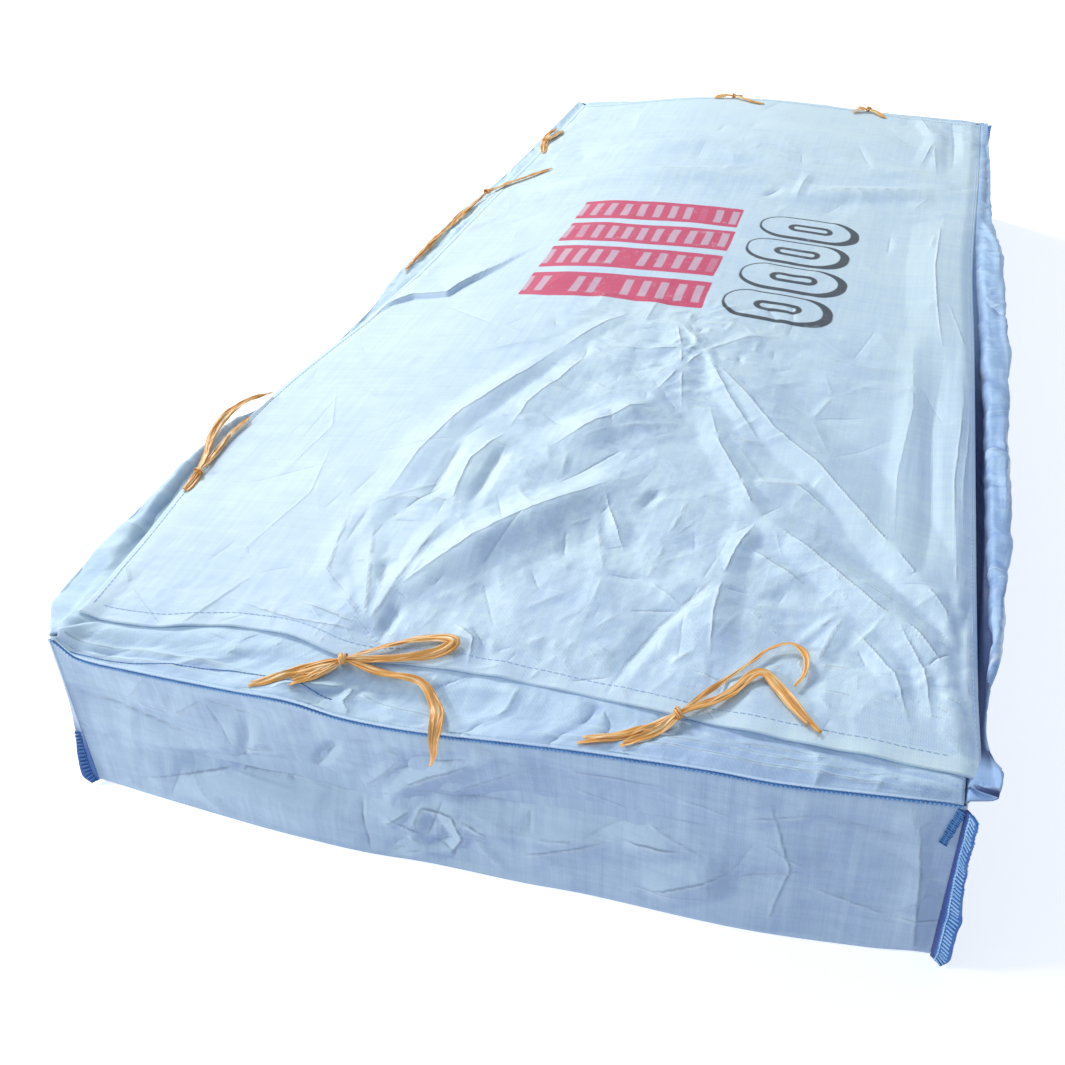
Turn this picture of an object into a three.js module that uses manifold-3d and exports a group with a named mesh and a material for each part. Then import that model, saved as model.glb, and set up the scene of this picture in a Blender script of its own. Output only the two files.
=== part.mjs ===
// Large flat bag for sheet material, lying closed and tied: a woven tray whose four corner seams stand
// out as fins, a skirt sewn along the top of each wall and turned in, a creased lid over them, and seven
// knotted tape ties. Millimetres, +X to the right, +Y away from the near end, +Z up. The origin is the
// middle of the base's underside.
import * as THREE from "three";
import { mergeVertices } from "three/addons/utils/BufferGeometryUtils.js";
import Module from "manifold-3d";

const wasm = await Module();
wasm.setup();

// Driving dimensions
const WIDTH = 1250;
const LENGTH = 2600;
const HALF_WIDTH = WIDTH / 2;
const HALF_LENGTH = LENGTH / 2;
const CLOTH = 2.5;
const SEAM_GAP = 0.3;
const FOOT_RADIUS = 9;
const SKIRT_DEPTH = 240;
const SKIRT_SAG = 26;
const CORNER_GAP = 3.4;
// Step in a sheet's u and v from which its normal is taken, and the distance at which two points are one
const NORMAL_STEP = 0.002;
const SAME_PLACE = 1e-3;
const FIN_GAP = 0.9;
const FIN_WIDTH = 27;
const FIN_THICKNESS = 3;
const FIN_COLUMNS = 3;
const FIN_ROWS = 14;
const FIN_SPAN = { foot: 0.01, top: 0.985 };
const FIN_SWAY = { size: 5, rate: 5 };
const FIN_WAVES = [
  { size: 2.5, rate: 7, phase: 0 },
  { size: 1.5, rate: 17, phase: 1 },
];
const TAPE_WIDTH = 15;
const TAPE_THICKNESS = 1.6;
const TAPE_CLEARANCE = 0.6;
const TAPE_STEP = 22;
const LEAST_TAPE_STEPS = 3;
const KNOT = { length: 30, width: 20, height: 13, around: 10, down: 6 };
// Where the cloth's height is felt for under a tie: places on a ring, from well above
const RING_PLACES = 6;
const RAY_HEIGHT = 600;

const LOOKS = {
  wallCloth: { color: 0xa3bedb, roughness: 0.6 },
  skirtCloth: { color: 0xb1cde6, roughness: 0.55 },
  lidCloth: { color: 0xb9d7ec, roughness: 0.55 },
  overlock: { color: 0x2c62ad, roughness: 0.7 },
  tape: { color: 0xe39a3c, roughness: 0.5 },
};

// Corner posts: the height of the rim, and where the foot and the rim stand from the plain corner
const CORNERS = {
  frontLeft: { x: -HALF_WIDTH, y: -HALF_LENGTH, height: 260, foot: [-12, 1], rim: [6, 0] },
  frontRight: { x: HALF_WIDTH, y: -HALF_LENGTH, height: 290, foot: [-8, -6], rim: [2, -6] },
  backRight: { x: HALF_WIDTH, y: HALF_LENGTH, height: 279, foot: [-12, -2], rim: [-9, 0] },
  backLeft: { x: -HALF_WIDTH, y: HALF_LENGTH, height: 284, foot: [12, -2], rim: [16, 0] },
};

// Each side runs from one corner (at 0) to the next (at 1). Foot, belly, rim and roll stand out from the
// straight line between the corners: the foot on the ground, the middle of the wall, its top seam, and the
// skirt's outermost line.
const FRONT = {
  from: "frontLeft",
  to: "frontRight",
  steps: 28,
  rows: [
    { at: 0.0, foot: 0, belly: 0, rim: 0, height: 260, roll: 0 },
    { at: 0.1, foot: 11, belly: 6, rim: 8, height: 262, roll: 9 },
    { at: 0.235, foot: 24, belly: 10, rim: 22, height: 275, roll: 24 },
    { at: 0.31, foot: 28, belly: 8, rim: 26, height: 280, roll: 28 },
    { at: 0.37, foot: 29, belly: 10, rim: 24, height: 265, roll: 27 },
    { at: 0.45, foot: 24, belly: 14, rim: 22, height: 263, roll: 25 },
    { at: 0.56, foot: 24, belly: 18, rim: 20, height: 274, roll: 23 },
    { at: 0.63, foot: 21, belly: 19, rim: 20, height: 282, roll: 23 },
    { at: 0.76, foot: 24, belly: 22, rim: 23, height: 294, roll: 26 },
    { at: 0.83, foot: 22, belly: 18, rim: 21, height: 292, roll: 24 },
    { at: 0.94, foot: 10, belly: 8, rim: 10, height: 294, roll: 12 },
    { at: 1.0, foot: 0, belly: 0, rim: 0, height: 290, roll: 0 },
  ],
};
const RIGHT = {
  from: "frontRight",
  to: "backRight",
  steps: 26,
  rows: [
    { at: 0.0, foot: 0, belly: 0, rim: 0, height: 290, roll: 24 },
    { at: 0.02, foot: 1, belly: 3, rim: 2, height: 288, roll: 38 },
    { at: 0.08, foot: 5, belly: 13, rim: 8, height: 280, roll: 35 },
    { at: 0.175, foot: 11, belly: 24, rim: 14, height: 274, roll: 50 },
    { at: 0.236, foot: 13, belly: 28, rim: 16, height: 273, roll: 54 },
    { at: 0.294, foot: 14, belly: 25, rim: 13, height: 270, roll: 45 },
    { at: 0.36, foot: 12, belly: 27, rim: 15, height: 272, roll: 52 },
    { at: 0.51, foot: 9, belly: 24, rim: 14, height: 275, roll: 46 },
    { at: 0.624, foot: 11, belly: 19, rim: 12, height: 274, roll: 38 },
    { at: 0.712, foot: 8, belly: 12, rim: 8, height: 272, roll: 22 },
    { at: 0.85, foot: 6, belly: 9, rim: 6, height: 275, roll: 17 },
    { at: 1.0, foot: 0, belly: 0, rim: 0, height: 279, roll: 8 },
  ],
};
const BACK = {
  from: "backRight",
  to: "backLeft",
  steps: 20,
  rows: [
    { at: 0.0, foot: 0, belly: 0, rim: 0, height: 279, roll: 0 },
    { at: 0.2, foot: 12, belly: 16, rim: 12, height: 283, roll: 14 },
    { at: 0.42, foot: 19, belly: 24, rim: 18, height: 292, roll: 21 },
    { at: 0.6, foot: 16, belly: 22, rim: 19, height: 298, roll: 22 },
    { at: 0.82, foot: 13, belly: 14, rim: 11, height: 289, roll: 13 },
    { at: 1.0, foot: 0, belly: 0, rim: 0, height: 284, roll: 0 },
  ],
};
const LEFT = {
  from: "backLeft",
  to: "frontLeft",
  steps: 26,
  rows: [
    { at: 0.0, foot: 0, belly: 0, rim: 0, height: 284, roll: 6 },
    { at: 0.14, foot: 7, belly: 9, rim: 5, height: 278, roll: 12 },
    { at: 0.25, foot: 10, belly: 14, rim: 7, height: 274, roll: 20 },
    { at: 0.32, foot: 12, belly: 19, rim: 11, height: 270, roll: 36 },
    { at: 0.42, foot: 9, belly: 22, rim: 12, height: 272, roll: 42 },
    { at: 0.51, foot: 11, belly: 20, rim: 10, height: 273, roll: 38 },
    { at: 0.58, foot: 8, belly: 14, rim: 5, height: 273, roll: 20 },
    { at: 0.65, foot: 10, belly: 17, rim: 7, height: 272, roll: 22 },
    { at: 0.73, foot: 14, belly: 26, rim: 14, height: 268, roll: 44 },
    { at: 0.78, foot: 15, belly: 28, rim: 15, height: 267, roll: 63 },
    { at: 0.83, foot: 14, belly: 26, rim: 14, height: 266, roll: 63 },
    { at: 0.93, foot: 7, belly: 15, rim: 8, height: 264, roll: 50 },
    { at: 0.98, foot: 2, belly: 5, rim: 3, height: 261, roll: 46 },
    { at: 1.0, foot: 0, belly: 0, rim: 0, height: 260, roll: 20 },
  ],
};
const SIDES = [FRONT, RIGHT, BACK, LEFT];

// Rows of the wall's mesh, as shares of its height
const WALL_LEVELS = [0.035, 0.2, 0.4, 0.6, 0.8, 1];

// Rings of the flat base, as shares of its outline
const BASE_RINGS = [0.35, 0.7];

// A fold's share of its depth at its ends, and how much more it has in between
const WALL_FOLD_ENDS = { least: 0.4, more: 0.6 };
// Where the wall's folds fade out, as shares of its length and its height
const WALL_FOLD_FADE = { at: 0.125, up: 0.16 };

// Long soft folds in the walls, from and to as shares of the side's length (at) and the wall's height (up)
const WALL_FOLDS = [
  { side: FRONT, at0: 0.05, up0: 0.34, at1: 0.38, up1: 0.46, width: 34, depth: -9 },
  { side: FRONT, at0: 0.1, up0: 0.2, at1: 0.42, up1: 0.22, width: 50, depth: 7 },
  { side: FRONT, at0: 0.97, up0: 0.05, at1: 0.955, up1: 0.85, width: 26, depth: -8 },
  { side: FRONT, at0: 0.45, up0: 0.62, at1: 0.55, up1: 0.3, width: 30, depth: 5 },
  { side: RIGHT, at0: 0.27, up0: 0.95, at1: 0.33, up1: 0.3, width: 45, depth: -12 },
  { side: RIGHT, at0: 0.6, up0: 0.9, at1: 0.68, up1: 0.25, width: 50, depth: -10 },
  { side: BACK, at0: 0.3, up0: 0.3, at1: 0.62, up1: 0.55, width: 40, depth: -9 },
  { side: LEFT, at0: 0.52, up0: 0.9, at1: 0.6, up1: 0.3, width: 50, depth: -11 },
  { side: LEFT, at0: 0.2, up0: 0.4, at1: 0.4, up1: 0.6, width: 45, depth: -8 },
];

// The lid's outline: its long edges by distance along the bag, its end hems by distance across it
const LID_LEFT = [
  { at: -1250, edge: -622 },
  { at: -1090, edge: -637 },
  { at: -870, edge: -660 },
  { at: -600, edge: -662 },
  { at: -400, edge: -642 },
  { at: -250, edge: -620 },
  { at: 0, edge: -606 },
  { at: 500, edge: -600 },
  { at: 900, edge: -588 },
  { at: 1290, edge: -590 },
];
const LID_RIGHT = [
  { at: -1270, edge: 634 },
  { at: -735, edge: 627 },
  { at: -125, edge: 613 },
  { at: 265, edge: 602 },
  { at: 800, edge: 600 },
  { at: 1290, edge: 600 },
];
const LID_FRONT = [
  { at: -622, edge: -1238 },
  { at: -500, edge: -1235 },
  { at: -400, edge: -1214 },
  { at: -300, edge: -1216 },
  { at: -200, edge: -1238 },
  { at: -90, edge: -1226 },
  { at: 60, edge: -1228 },
  { at: 200, edge: -1242 },
  { at: 350, edge: -1258 },
  { at: 634, edge: -1268 },
];
const LID_BACK = [
  { at: -590, edge: 1266 },
  { at: -120, edge: 1288 },
  { at: 250, edge: 1284 },
  { at: 600, edge: 1270 },
];
const LID_COLUMNS = 32;
const LID_ROWS = 38;
const LID_ROW_CROWDING = 1.3;
// Heights of the lid's corners, how far its front hem follows the rim's dips, and its crown
const LID_HEIGHTS = { frontLeft: 287, frontRight: 301, backRight: 290, backLeft: 293 };
const HEM = { follow: 0.45, run: 0.12 };
const CROWN = { height: 44, lean: 0.86, left: 0.42, right: 0.5, rise: 0.3, fall: 0.25, far: 0.82 };
const FOLD_EDGE_FADE = 70;
const LID_FOLD_ENDS = { least: 0.45, more: 0.55 };

// Main folds of the lid as ridges from one place to another, in plan
const LID_FOLDS = [
  { x0: 90, y0: -330, x1: 350, y1: -700, width: 52, height: 14 },
  { x0: 350, y0: -700, x1: 600, y1: -1130, width: 50, height: 15 },
  { x0: 170, y0: -520, x1: 300, y1: -815, width: 40, height: 14 },
  { x0: 300, y0: -815, x1: 590, y1: -1090, width: 46, height: 15 },
  { x0: 60, y0: -810, x1: -170, y1: -1090, width: 56, height: 18 },
  { x0: 300, y0: -850, x1: 200, y1: -1170, width: 42, height: 14 },
  { x0: -90, y0: -400, x1: -150, y1: -690, width: 46, height: 13 },
  { x0: -150, y0: -690, x1: -165, y1: -930, width: 44, height: 12 },
  { x0: -160, y0: -400, x1: -280, y1: -760, width: 40, height: 11 },
  { x0: -280, y0: -760, x1: -300, y1: -1080, width: 44, height: 12 },
  { x0: 70, y0: -560, x1: -60, y1: -720, width: 60, height: 12 },
  { x0: -190, y0: -1150, x1: -160, y1: -930, width: 36, height: 10 },
  { x0: -610, y0: -260, x1: -480, y1: -140, width: 40, height: 13 },
  { x0: -480, y0: -140, x1: -410, y1: 10, width: 40, height: 12 },
  { x0: 505, y0: -150, x1: 520, y1: -900, width: 40, height: 7 },
  { x0: -470, y0: 500, x1: 100, y1: 640, width: 80, height: 8 },
  { x0: 180, y0: 540, x1: 520, y1: 690, width: 70, height: 8 },
  { x0: -380, y0: 780, x1: -80, y1: 850, width: 80, height: 7 },
  { x0: 280, y0: 810, x1: 540, y1: 790, width: 70, height: 7 },
  { x0: 60, y0: 1060, x1: 430, y1: 980, width: 80, height: 7 },
];

// Share of a skirt's width, and how far it has come by there: outwards as a share of its roll, upwards as
// a share of its top, and inwards as a share of its depth
const SKIRT_ROWS = 10;
const SKIRT_PROFILE = [
  { at: 0.0, out: 0, up: 0, inwards: 0 },
  { at: 0.1, out: 0.125, up: 0.3, inwards: 0 },
  { at: 0.2, out: 0.75, up: 0.55, inwards: 0 },
  { at: 0.3, out: 1, up: 0.85, inwards: 0 },
  { at: 0.4, out: 0.72, up: 1, inwards: 0 },
  { at: 0.5, out: 0.28, up: 0.95, inwards: 0.03 },
  { at: 0.6, out: 0, up: 0.8, inwards: 0.1 },
  { at: 0.7, out: 0, up: 0.7, inwards: 0.22 },
  { at: 0.8, out: 0, up: 0.6, inwards: 0.42 },
  { at: 1.0, out: 0, up: 0.4, inwards: 1 },
];
// Each skirt's top is the height of its roll over the seam, and dive how far outside the lid's edge it
// starts to go down. Just inside that edge the cleft is how far it dips, and rest is its gap under the lid.
const SKIRT_FORMS = [
  { name: "skirt_front", side: FRONT, top: 9, dive: 62, cleft: 0, rest: 1.7 },
  { name: "skirt_right", side: RIGHT, top: 27, dive: 24, cleft: 14, rest: 1.7 },
  { name: "skirt_back", side: BACK, top: 9, dive: 30, cleft: 0, rest: 1 },
  { name: "skirt_left", side: LEFT, top: 26, dive: 30, cleft: 3, rest: 2.2 },
];
// The dive ends this far outside the lid's edge, once the skirt has turned in
const DIVE_END = 10;
const SEAM_SHARE = 0.1;
const TURN_SHARE = 0.45;
const ROLL_END = { share: 0.3, run: 0.06 };
const CLEFT_WIDTH = 45;
const SAG_START = 90;
const RIM = { clearance: 4.5, slope: 0.22 };
const MITRE = 1.03;

// Ties: each strand is a flat tape from the knot through points in plan, and back to it where it is a loop.
// A point's lift is its height over the cloth below it, and a point with a height is placed there instead,
// as where an end hangs over the side.
const TIES = [
  {
    name: "tie_front_left",
    knot: { x: -197, y: -1246, turn: 25 },
    strands: [
      { points: [{ x: -250, y: -1276 }, { x: -282, y: -1302 }, { x: -304, y: -1316 }] },
      { points: [{ x: -228, y: -1280 }, { x: -248, y: -1308 }] },
      {
        loop: true,
        points: [
          { x: -140, y: -1208, lift: 5 },
          { x: -82, y: -1186, lift: 5 },
          { x: -56, y: -1190, lift: 7 },
          { x: -72, y: -1210, lift: 5 },
          { x: -120, y: -1228, lift: 5 },
        ],
      },
      {
        points: [
          { x: -140, y: -1250, lift: 5 },
          { x: -80, y: -1256, lift: 4 },
          { x: -46, y: -1286, lift: 4 },
          { x: -32, y: -1318, lift: 6 },
          { x: -29, y: -1341, height: 275 },
          { x: -31, y: -1345, height: 250 },
          { x: -40, y: -1340, height: 226 },
        ],
      },
    ],
  },
  {
    name: "tie_front_right",
    knot: { x: 273, y: -1254, turn: 40 },
    strands: [
      { points: [{ x: 245, y: -1274 }, { x: 206, y: -1300 }, { x: 156, y: -1316 }] },
      { points: [{ x: 256, y: -1284 }, { x: 232, y: -1306 }, { x: 212, y: -1316 }] },
      {
        points: [
          { x: 312, y: -1196, lift: 4 },
          { x: 346, y: -1142, lift: 5 },
          { x: 364, y: -1112, lift: 7 },
          { x: 392, y: -1098, lift: 9 },
          { x: 412, y: -1116, lift: 8 },
          { x: 412, y: -1148, lift: 5 },
          { x: 402, y: -1166, lift: 4 },
        ],
      },
      {
        points: [
          { x: 326, y: -1206, lift: 4 },
          { x: 360, y: -1160, lift: 5 },
          { x: 388, y: -1182, lift: 3 },
          { x: 418, y: -1216, lift: 2 },
          { x: 448, y: -1248, lift: 2 },
        ],
      },
    ],
  },
  {
    name: "tie_left_near",
    knot: { x: -650, y: -868, turn: 80 },
    strands: [
      { points: [{ x: -648, y: -894 }, { x: -646, y: -918 }] },
      {
        points: [
          { x: -668, y: -810, lift: 8 },
          { x: -684, y: -756, lift: 10 },
          { x: -688, y: -700, height: 309 },
          { x: -678, y: -640, height: 305 },
          { x: -660, y: -590, lift: 4 },
        ],
      },
      {
        points: [
          { x: -654, y: -800, lift: 4 },
          { x: -662, y: -740, lift: 5 },
          { x: -656, y: -680, lift: 3 },
        ],
      },
    ],
  },
  {
    name: "tie_left_middle",
    knot: { x: -628, y: 506, turn: 60 },
    strands: [
      {
        points: [
          { x: -640, y: 340, lift: 3 },
          { x: -644, y: 180, lift: 4 },
          { x: -646, y: 80, lift: 4 },
          { x: -640, y: -10, lift: 2 },
        ],
      },
      { points: [{ x: -592, y: 560, lift: 3 }, { x: -552, y: 610, lift: 2 }, { x: -500, y: 668 }] },
    ],
  },
  {
    name: "tie_left_far",
    knot: { x: -594, y: 900, turn: 75 },
    strands: [
      { points: [{ x: -582, y: 850 }, { x: -572, y: 800 }] },
      { points: [{ x: -606, y: 960, lift: 6 }, { x: -602, y: 1030, lift: 3 }] },
      { points: [{ x: -582, y: 956, lift: 3 }, { x: -572, y: 1004 }] },
    ],
  },
  {
    name: "tie_back_left",
    knot: { x: -118, y: 1284, turn: 10 },
    strands: [
      { points: [{ x: -150, y: 1276, lift: 4 }, { x: -178, y: 1270 }] },
      { points: [{ x: -92, y: 1266, lift: 4 }, { x: -58, y: 1240, lift: 2 }, { x: -20, y: 1222 }] },
      { points: [{ x: -108, y: 1300, lift: 5 }, { x: -90, y: 1308, lift: 3 }] },
    ],
  },
  {
    name: "tie_back_right",
    knot: { x: 282, y: 1278, turn: -40 },
    strands: [
      { points: [{ x: 264, y: 1292, lift: 5 }, { x: 246, y: 1300, lift: 4 }] },
      { points: [{ x: 308, y: 1260, lift: 4 }, { x: 334, y: 1234 }] },
      { points: [{ x: 256, y: 1264, lift: 4 }, { x: 238, y: 1242 }] },
    ],
  },
];

// Smooth value of one named column of a table at a place, with a rounded curve through the rows
function smooth(rows, column, place) {
  const last = rows.length - 1;
  const at = Math.min(Math.max(place, rows[0].at), rows[last].at);
  let i = 0;
  while (i < last - 1 && at > rows[i + 1].at) i += 1;
  const [a, b] = [rows[i], rows[i + 1]];
  const [before, after] = [rows[Math.max(i - 1, 0)], rows[Math.min(i + 2, last)]];
  const span = b.at - a.at;
  const slopeA = i === 0 ? 0 : ((b[column] - before[column]) / (b.at - before.at)) * span;
  const slopeB = i + 1 === last ? 0 : ((after[column] - a[column]) / (after.at - a.at)) * span;
  const t = (at - a.at) / span;
  const [t2, t3] = [t * t, t * t * t];
  return (
    (2 * t3 - 3 * t2 + 1) * a[column] +
    (t3 - 2 * t2 + t) * slopeA +
    (3 * t2 - 2 * t3) * b[column] +
    (t3 - t2) * slopeB
  );
}

// A ridge's share of its full height at a distance from its line, rounded on top and at its feet
function ridge(distance, width) {
  const d = Math.min(Math.abs(distance) / width, 1);
  return (1 - d) ** 2 * (1 + 2 * d);
}

// Share of a fold's full height at a share of its length
function taper(along, { least, more }) {
  return least + more * Math.sin(Math.PI * along);
}

// Nearest place along a straight line, 0 to 1, and the distance from it
function besideLine(x, y, x0, y0, x1, y1) {
  const [dx, dy] = [x1 - x0, y1 - y0];
  const along = Math.min(Math.max(((x - x0) * dx + (y - y0) * dy) / (dx * dx + dy * dy), 0), 1);
  return { along, distance: Math.hypot(x - x0 - along * dx, y - y0 - along * dy) };
}

// A closed solid through loops of equally many points, closed by a point at each end
function closedByLoops(start, loops, end) {
  const positions = [start, ...loops.flat(), end].flatMap((p) => [p.x, p.y, p.z]);
  const count = loops[0].length;
  const index = [];
  const vertex = (loop, i) => 1 + loop * count + (i % count);
  for (let i = 0; i < count; i += 1) index.push(0, vertex(0, i + 1), vertex(0, i));
  for (let loop = 0; loop + 1 < loops.length; loop += 1) {
    for (let i = 0; i < count; i += 1) {
      const [a, b] = [vertex(loop, i), vertex(loop, i + 1)];
      const [c, d] = [vertex(loop + 1, i), vertex(loop + 1, i + 1)];
      index.push(a, b, d, a, d, c);
    }
  }
  const lastLoop = loops.length - 1;
  const endVertex = 1 + loops.length * count;
  for (let i = 0; i < count; i += 1) index.push(endVertex, vertex(lastLoop, i), vertex(lastLoop, i + 1));
  const geometry = new THREE.BufferGeometry();
  geometry.setAttribute("position", new THREE.Float32BufferAttribute(positions, 3));
  geometry.setIndex(index);
  geometry.computeVertexNormals();
  return geometry;
}

// A closed sheet of even thickness about a middle surface given by a function of u and v from 0 to 1
function sheet(middle, columns, rows, thickness) {
  const geometry = new THREE.BoxGeometry(1, 1, 1, columns, rows, 1);
  const position = geometry.getAttribute("position");
  const step = NORMAL_STEP;
  for (let i = 0; i < position.count; i += 1) {
    const [u, v] = [position.getX(i) + 0.5, position.getY(i) + 0.5];
    const [u0, u1] = [Math.max(u - step, 0), Math.min(u + step, 1)];
    const [v0, v1] = [Math.max(v - step, 0), Math.min(v + step, 1)];
    const along = middle(u1, v).sub(middle(u0, v));
    const across = middle(u, v1).sub(middle(u, v0));
    const normal = along.cross(across).normalize();
    const place = middle(u, v).addScaledVector(normal, position.getZ(i) * thickness);
    position.setXYZ(i, place.x, place.y, place.z);
  }
  geometry.computeVertexNormals();
  return geometry;
}

// The merged solid of several closed geometries that overlap
function joined(geometries) {
  const solids = geometries.map((geometry) => {
    const bare = geometry.clone().deleteAttribute("normal").deleteAttribute("uv");
    const merged = mergeVertices(bare, SAME_PLACE);
    return new wasm.Manifold(
      new wasm.Mesh({
        numProp: 3,
        vertProperties: new Float32Array(merged.getAttribute("position").array),
        triVerts: new Uint32Array(merged.index.array),
      }),
    );
  });
  const mesh = solids.reduce((whole, next) => whole.add(next)).getMesh();
  const geometry = new THREE.BufferGeometry();
  geometry.setAttribute("position", new THREE.BufferAttribute(mesh.vertProperties, 3));
  geometry.setIndex(new THREE.BufferAttribute(mesh.triVerts, 1));
  geometry.computeVertexNormals();
  return geometry;
}

// The tray

// Straight line of a side in plan at a share of its length and of the wall's height, with its outward way
function sideLine(side, at, up) {
  const corner = ({ x, y, foot, rim }) =>
    new THREE.Vector2(
      x + THREE.MathUtils.lerp(foot[0], rim[0], up),
      y + THREE.MathUtils.lerp(foot[1], rim[1], up),
    );
  const [from, to] = [corner(CORNERS[side.from]), corner(CORNERS[side.to])];
  const run = to.clone().sub(from).normalize();
  const outward = new THREE.Vector2(run.y, -run.x);
  return { place: from.clone().lerp(to, at), outward, length: from.distanceTo(to) };
}

// Depth of the wall's folds at a place, none at the side's ends
function wallFold(side, at, up) {
  const height = smooth(side.rows, "height", at);
  const run = side === FRONT || side === BACK ? WIDTH : LENGTH;
  const folds = WALL_FOLDS.filter((fold) => fold.side === side);
  const depths = folds.map(({ at0, up0, at1, up1, width, depth }) => {
    const near = besideLine(at * run, up * height, at0 * run, up0 * height, at1 * run, up1 * height);
    return depth * ridge(near.distance, width) * taper(near.along, WALL_FOLD_ENDS);
  });
  const fromEnd = Math.min(at, 1 - at);
  return depths.reduce((sum, depth) => sum + depth, 0) * Math.min(1, fromEnd / WALL_FOLD_FADE.at);
}

// A point of the wall's outside, at shares of the side's length and of the wall's height
function wallPoint(side, at, up) {
  const row = (column) => smooth(side.rows, column, at);
  const line = sideLine(side, at, up);
  const swell = 4 * up * (1 - up);
  const straight = THREE.MathUtils.lerp(row("foot"), row("rim"), up);
  const middle = (row("foot") + row("rim")) / 2;
  const fade = Math.min(1, (1 - up) / WALL_FOLD_FADE.up, up / WALL_FOLD_FADE.up);
  const out = straight + (row("belly") - middle) * swell + wallFold(side, at, up) * fade;
  const place = line.place.addScaledVector(line.outward, out);
  return new THREE.Vector3(place.x, place.y, row("height") * up);
}

// Places round the bag: each corner, then each side's own steps, which start and end a little way from it
function stations() {
  return SIDES.flatMap((side) => {
    const cut = CORNER_GAP / sideLine(side, 0, 1).length;
    const steps = Array.from({ length: side.steps + 1 }, (_, i) => i / side.steps);
    const places = [0, ...steps.map((step) => THREE.MathUtils.lerp(cut, 1 - cut, step))];
    return places.map((at) => ({ side, at }));
  });
}

// A loop moved inwards in plan by a distance, and put at a height if one is given
function inset(loop, distance, height) {
  return loop.map((point, i) => {
    const before = loop[(i + loop.length - 1) % loop.length];
    const after = loop[(i + 1) % loop.length];
    const inward = (a, b) => new THREE.Vector2(a.y - b.y, b.x - a.x).normalize();
    const [n0, n1] = [inward(before, point), inward(point, after)];
    const n = n0.clone().add(n1).normalize();
    const reach = distance / Math.max(n.dot(n1), 0.5);
    return new THREE.Vector3(point.x + n.x * reach, point.y + n.y * reach, height ?? point.z);
  });
}

function shrunk(loop, share, height) {
  return loop.map((p) => new THREE.Vector3(p.x * share, p.y * share, height));
}

function bodyGeometry() {
  const around = stations();
  const levels = WALL_LEVELS.map((up) => around.map(({ side, at }) => wallPoint(side, at, up)));
  const ground = inset(levels[0], FOOT_RADIUS, 0);
  const outside = [...BASE_RINGS.map((share) => shrunk(ground, share, 0)), ground, ...levels];
  const walls = levels.map((level) => inset(level, CLOTH));
  const floor = inset(walls[0], FOOT_RADIUS - CLOTH, CLOTH);
  const rings = BASE_RINGS.map((share) => shrunk(floor, share, CLOTH));
  const inside = [...walls.toReversed(), floor, ...rings.toReversed()];
  return closedByLoops(new THREE.Vector3(0, 0, 0), [...outside, ...inside], new THREE.Vector3(0, 0, CLOTH));
}

// The lid

function lidEdges(x, y) {
  return {
    left: smooth(LID_LEFT, "edge", y),
    right: smooth(LID_RIGHT, "edge", y),
    front: smooth(LID_FRONT, "edge", x),
    back: smooth(LID_BACK, "edge", x),
  };
}

// Height of the lid's smooth form: its edge lies between its corners' heights, and it is crowned between
function lidForm(x, y) {
  const edges = lidEdges(x, y);
  const { lerp, clamp, smoothstep } = THREE.MathUtils;
  const across = clamp((x - edges.left) / (edges.right - edges.left), 0, 1);
  const along = clamp((y - edges.front) / (edges.back - edges.front), 0, 1);
  const front = lerp(LID_HEIGHTS.frontLeft, LID_HEIGHTS.frontRight, across);
  const back = lerp(LID_HEIGHTS.backLeft, LID_HEIGHTS.backRight, across);
  const rim = smooth(FRONT.rows, "height", (x + HALF_WIDTH) / WIDTH);
  const level = lerp(CORNERS.frontLeft.height, CORNERS.frontRight.height, across);
  const dip = (rim - level) * HEM.follow * (1 - Math.min(along / HEM.run, 1)) ** 2;
  const leaning = across ** CROWN.lean;
  const arch = smoothstep(leaning, 0, CROWN.left) * smoothstep(1 - leaning, 0, CROWN.right);
  const rise = 1 - (1 - Math.min(along / CROWN.rise, 1)) ** 2;
  const fall = lerp(CROWN.far, 1, Math.min((1 - along) / CROWN.fall, 1));
  return lerp(front, back, along) + dip + CROWN.height * arch * rise * fall;
}

// Distance inside the lid's outline in plan, negative outside it
function underLid(x, y) {
  const edges = lidEdges(x, y);
  return Math.min(x - edges.left, edges.right - x, y - edges.front, edges.back - y);
}

function lidFolds(x, y) {
  const heights = LID_FOLDS.map(({ x0, y0, x1, y1, width, height }) => {
    const near = besideLine(x, y, x0, y0, x1, y1);
    return height * ridge(near.distance, width) * taper(near.along, LID_FOLD_ENDS);
  });
  return Math.max(...heights) * THREE.MathUtils.smoothstep(underLid(x, y), 0, FOLD_EDGE_FADE);
}

// Rows crowd towards the near end, where the folds are
function lidPlace(u, v) {
  const y = THREE.MathUtils.lerp(LID_FRONT[0].edge, LID_BACK[0].edge, v ** LID_ROW_CROWDING);
  const x = THREE.MathUtils.lerp(smooth(LID_LEFT, "edge", y), smooth(LID_RIGHT, "edge", y), u);
  const edges = lidEdges(x, y);
  return new THREE.Vector2(x, THREE.MathUtils.lerp(edges.front, edges.back, v ** LID_ROW_CROWDING));
}

function lidMiddle(u, v) {
  const { x, y } = lidPlace(u, v);
  return new THREE.Vector3(x, y, lidForm(x, y) + lidFolds(x, y));
}

// The skirts

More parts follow.
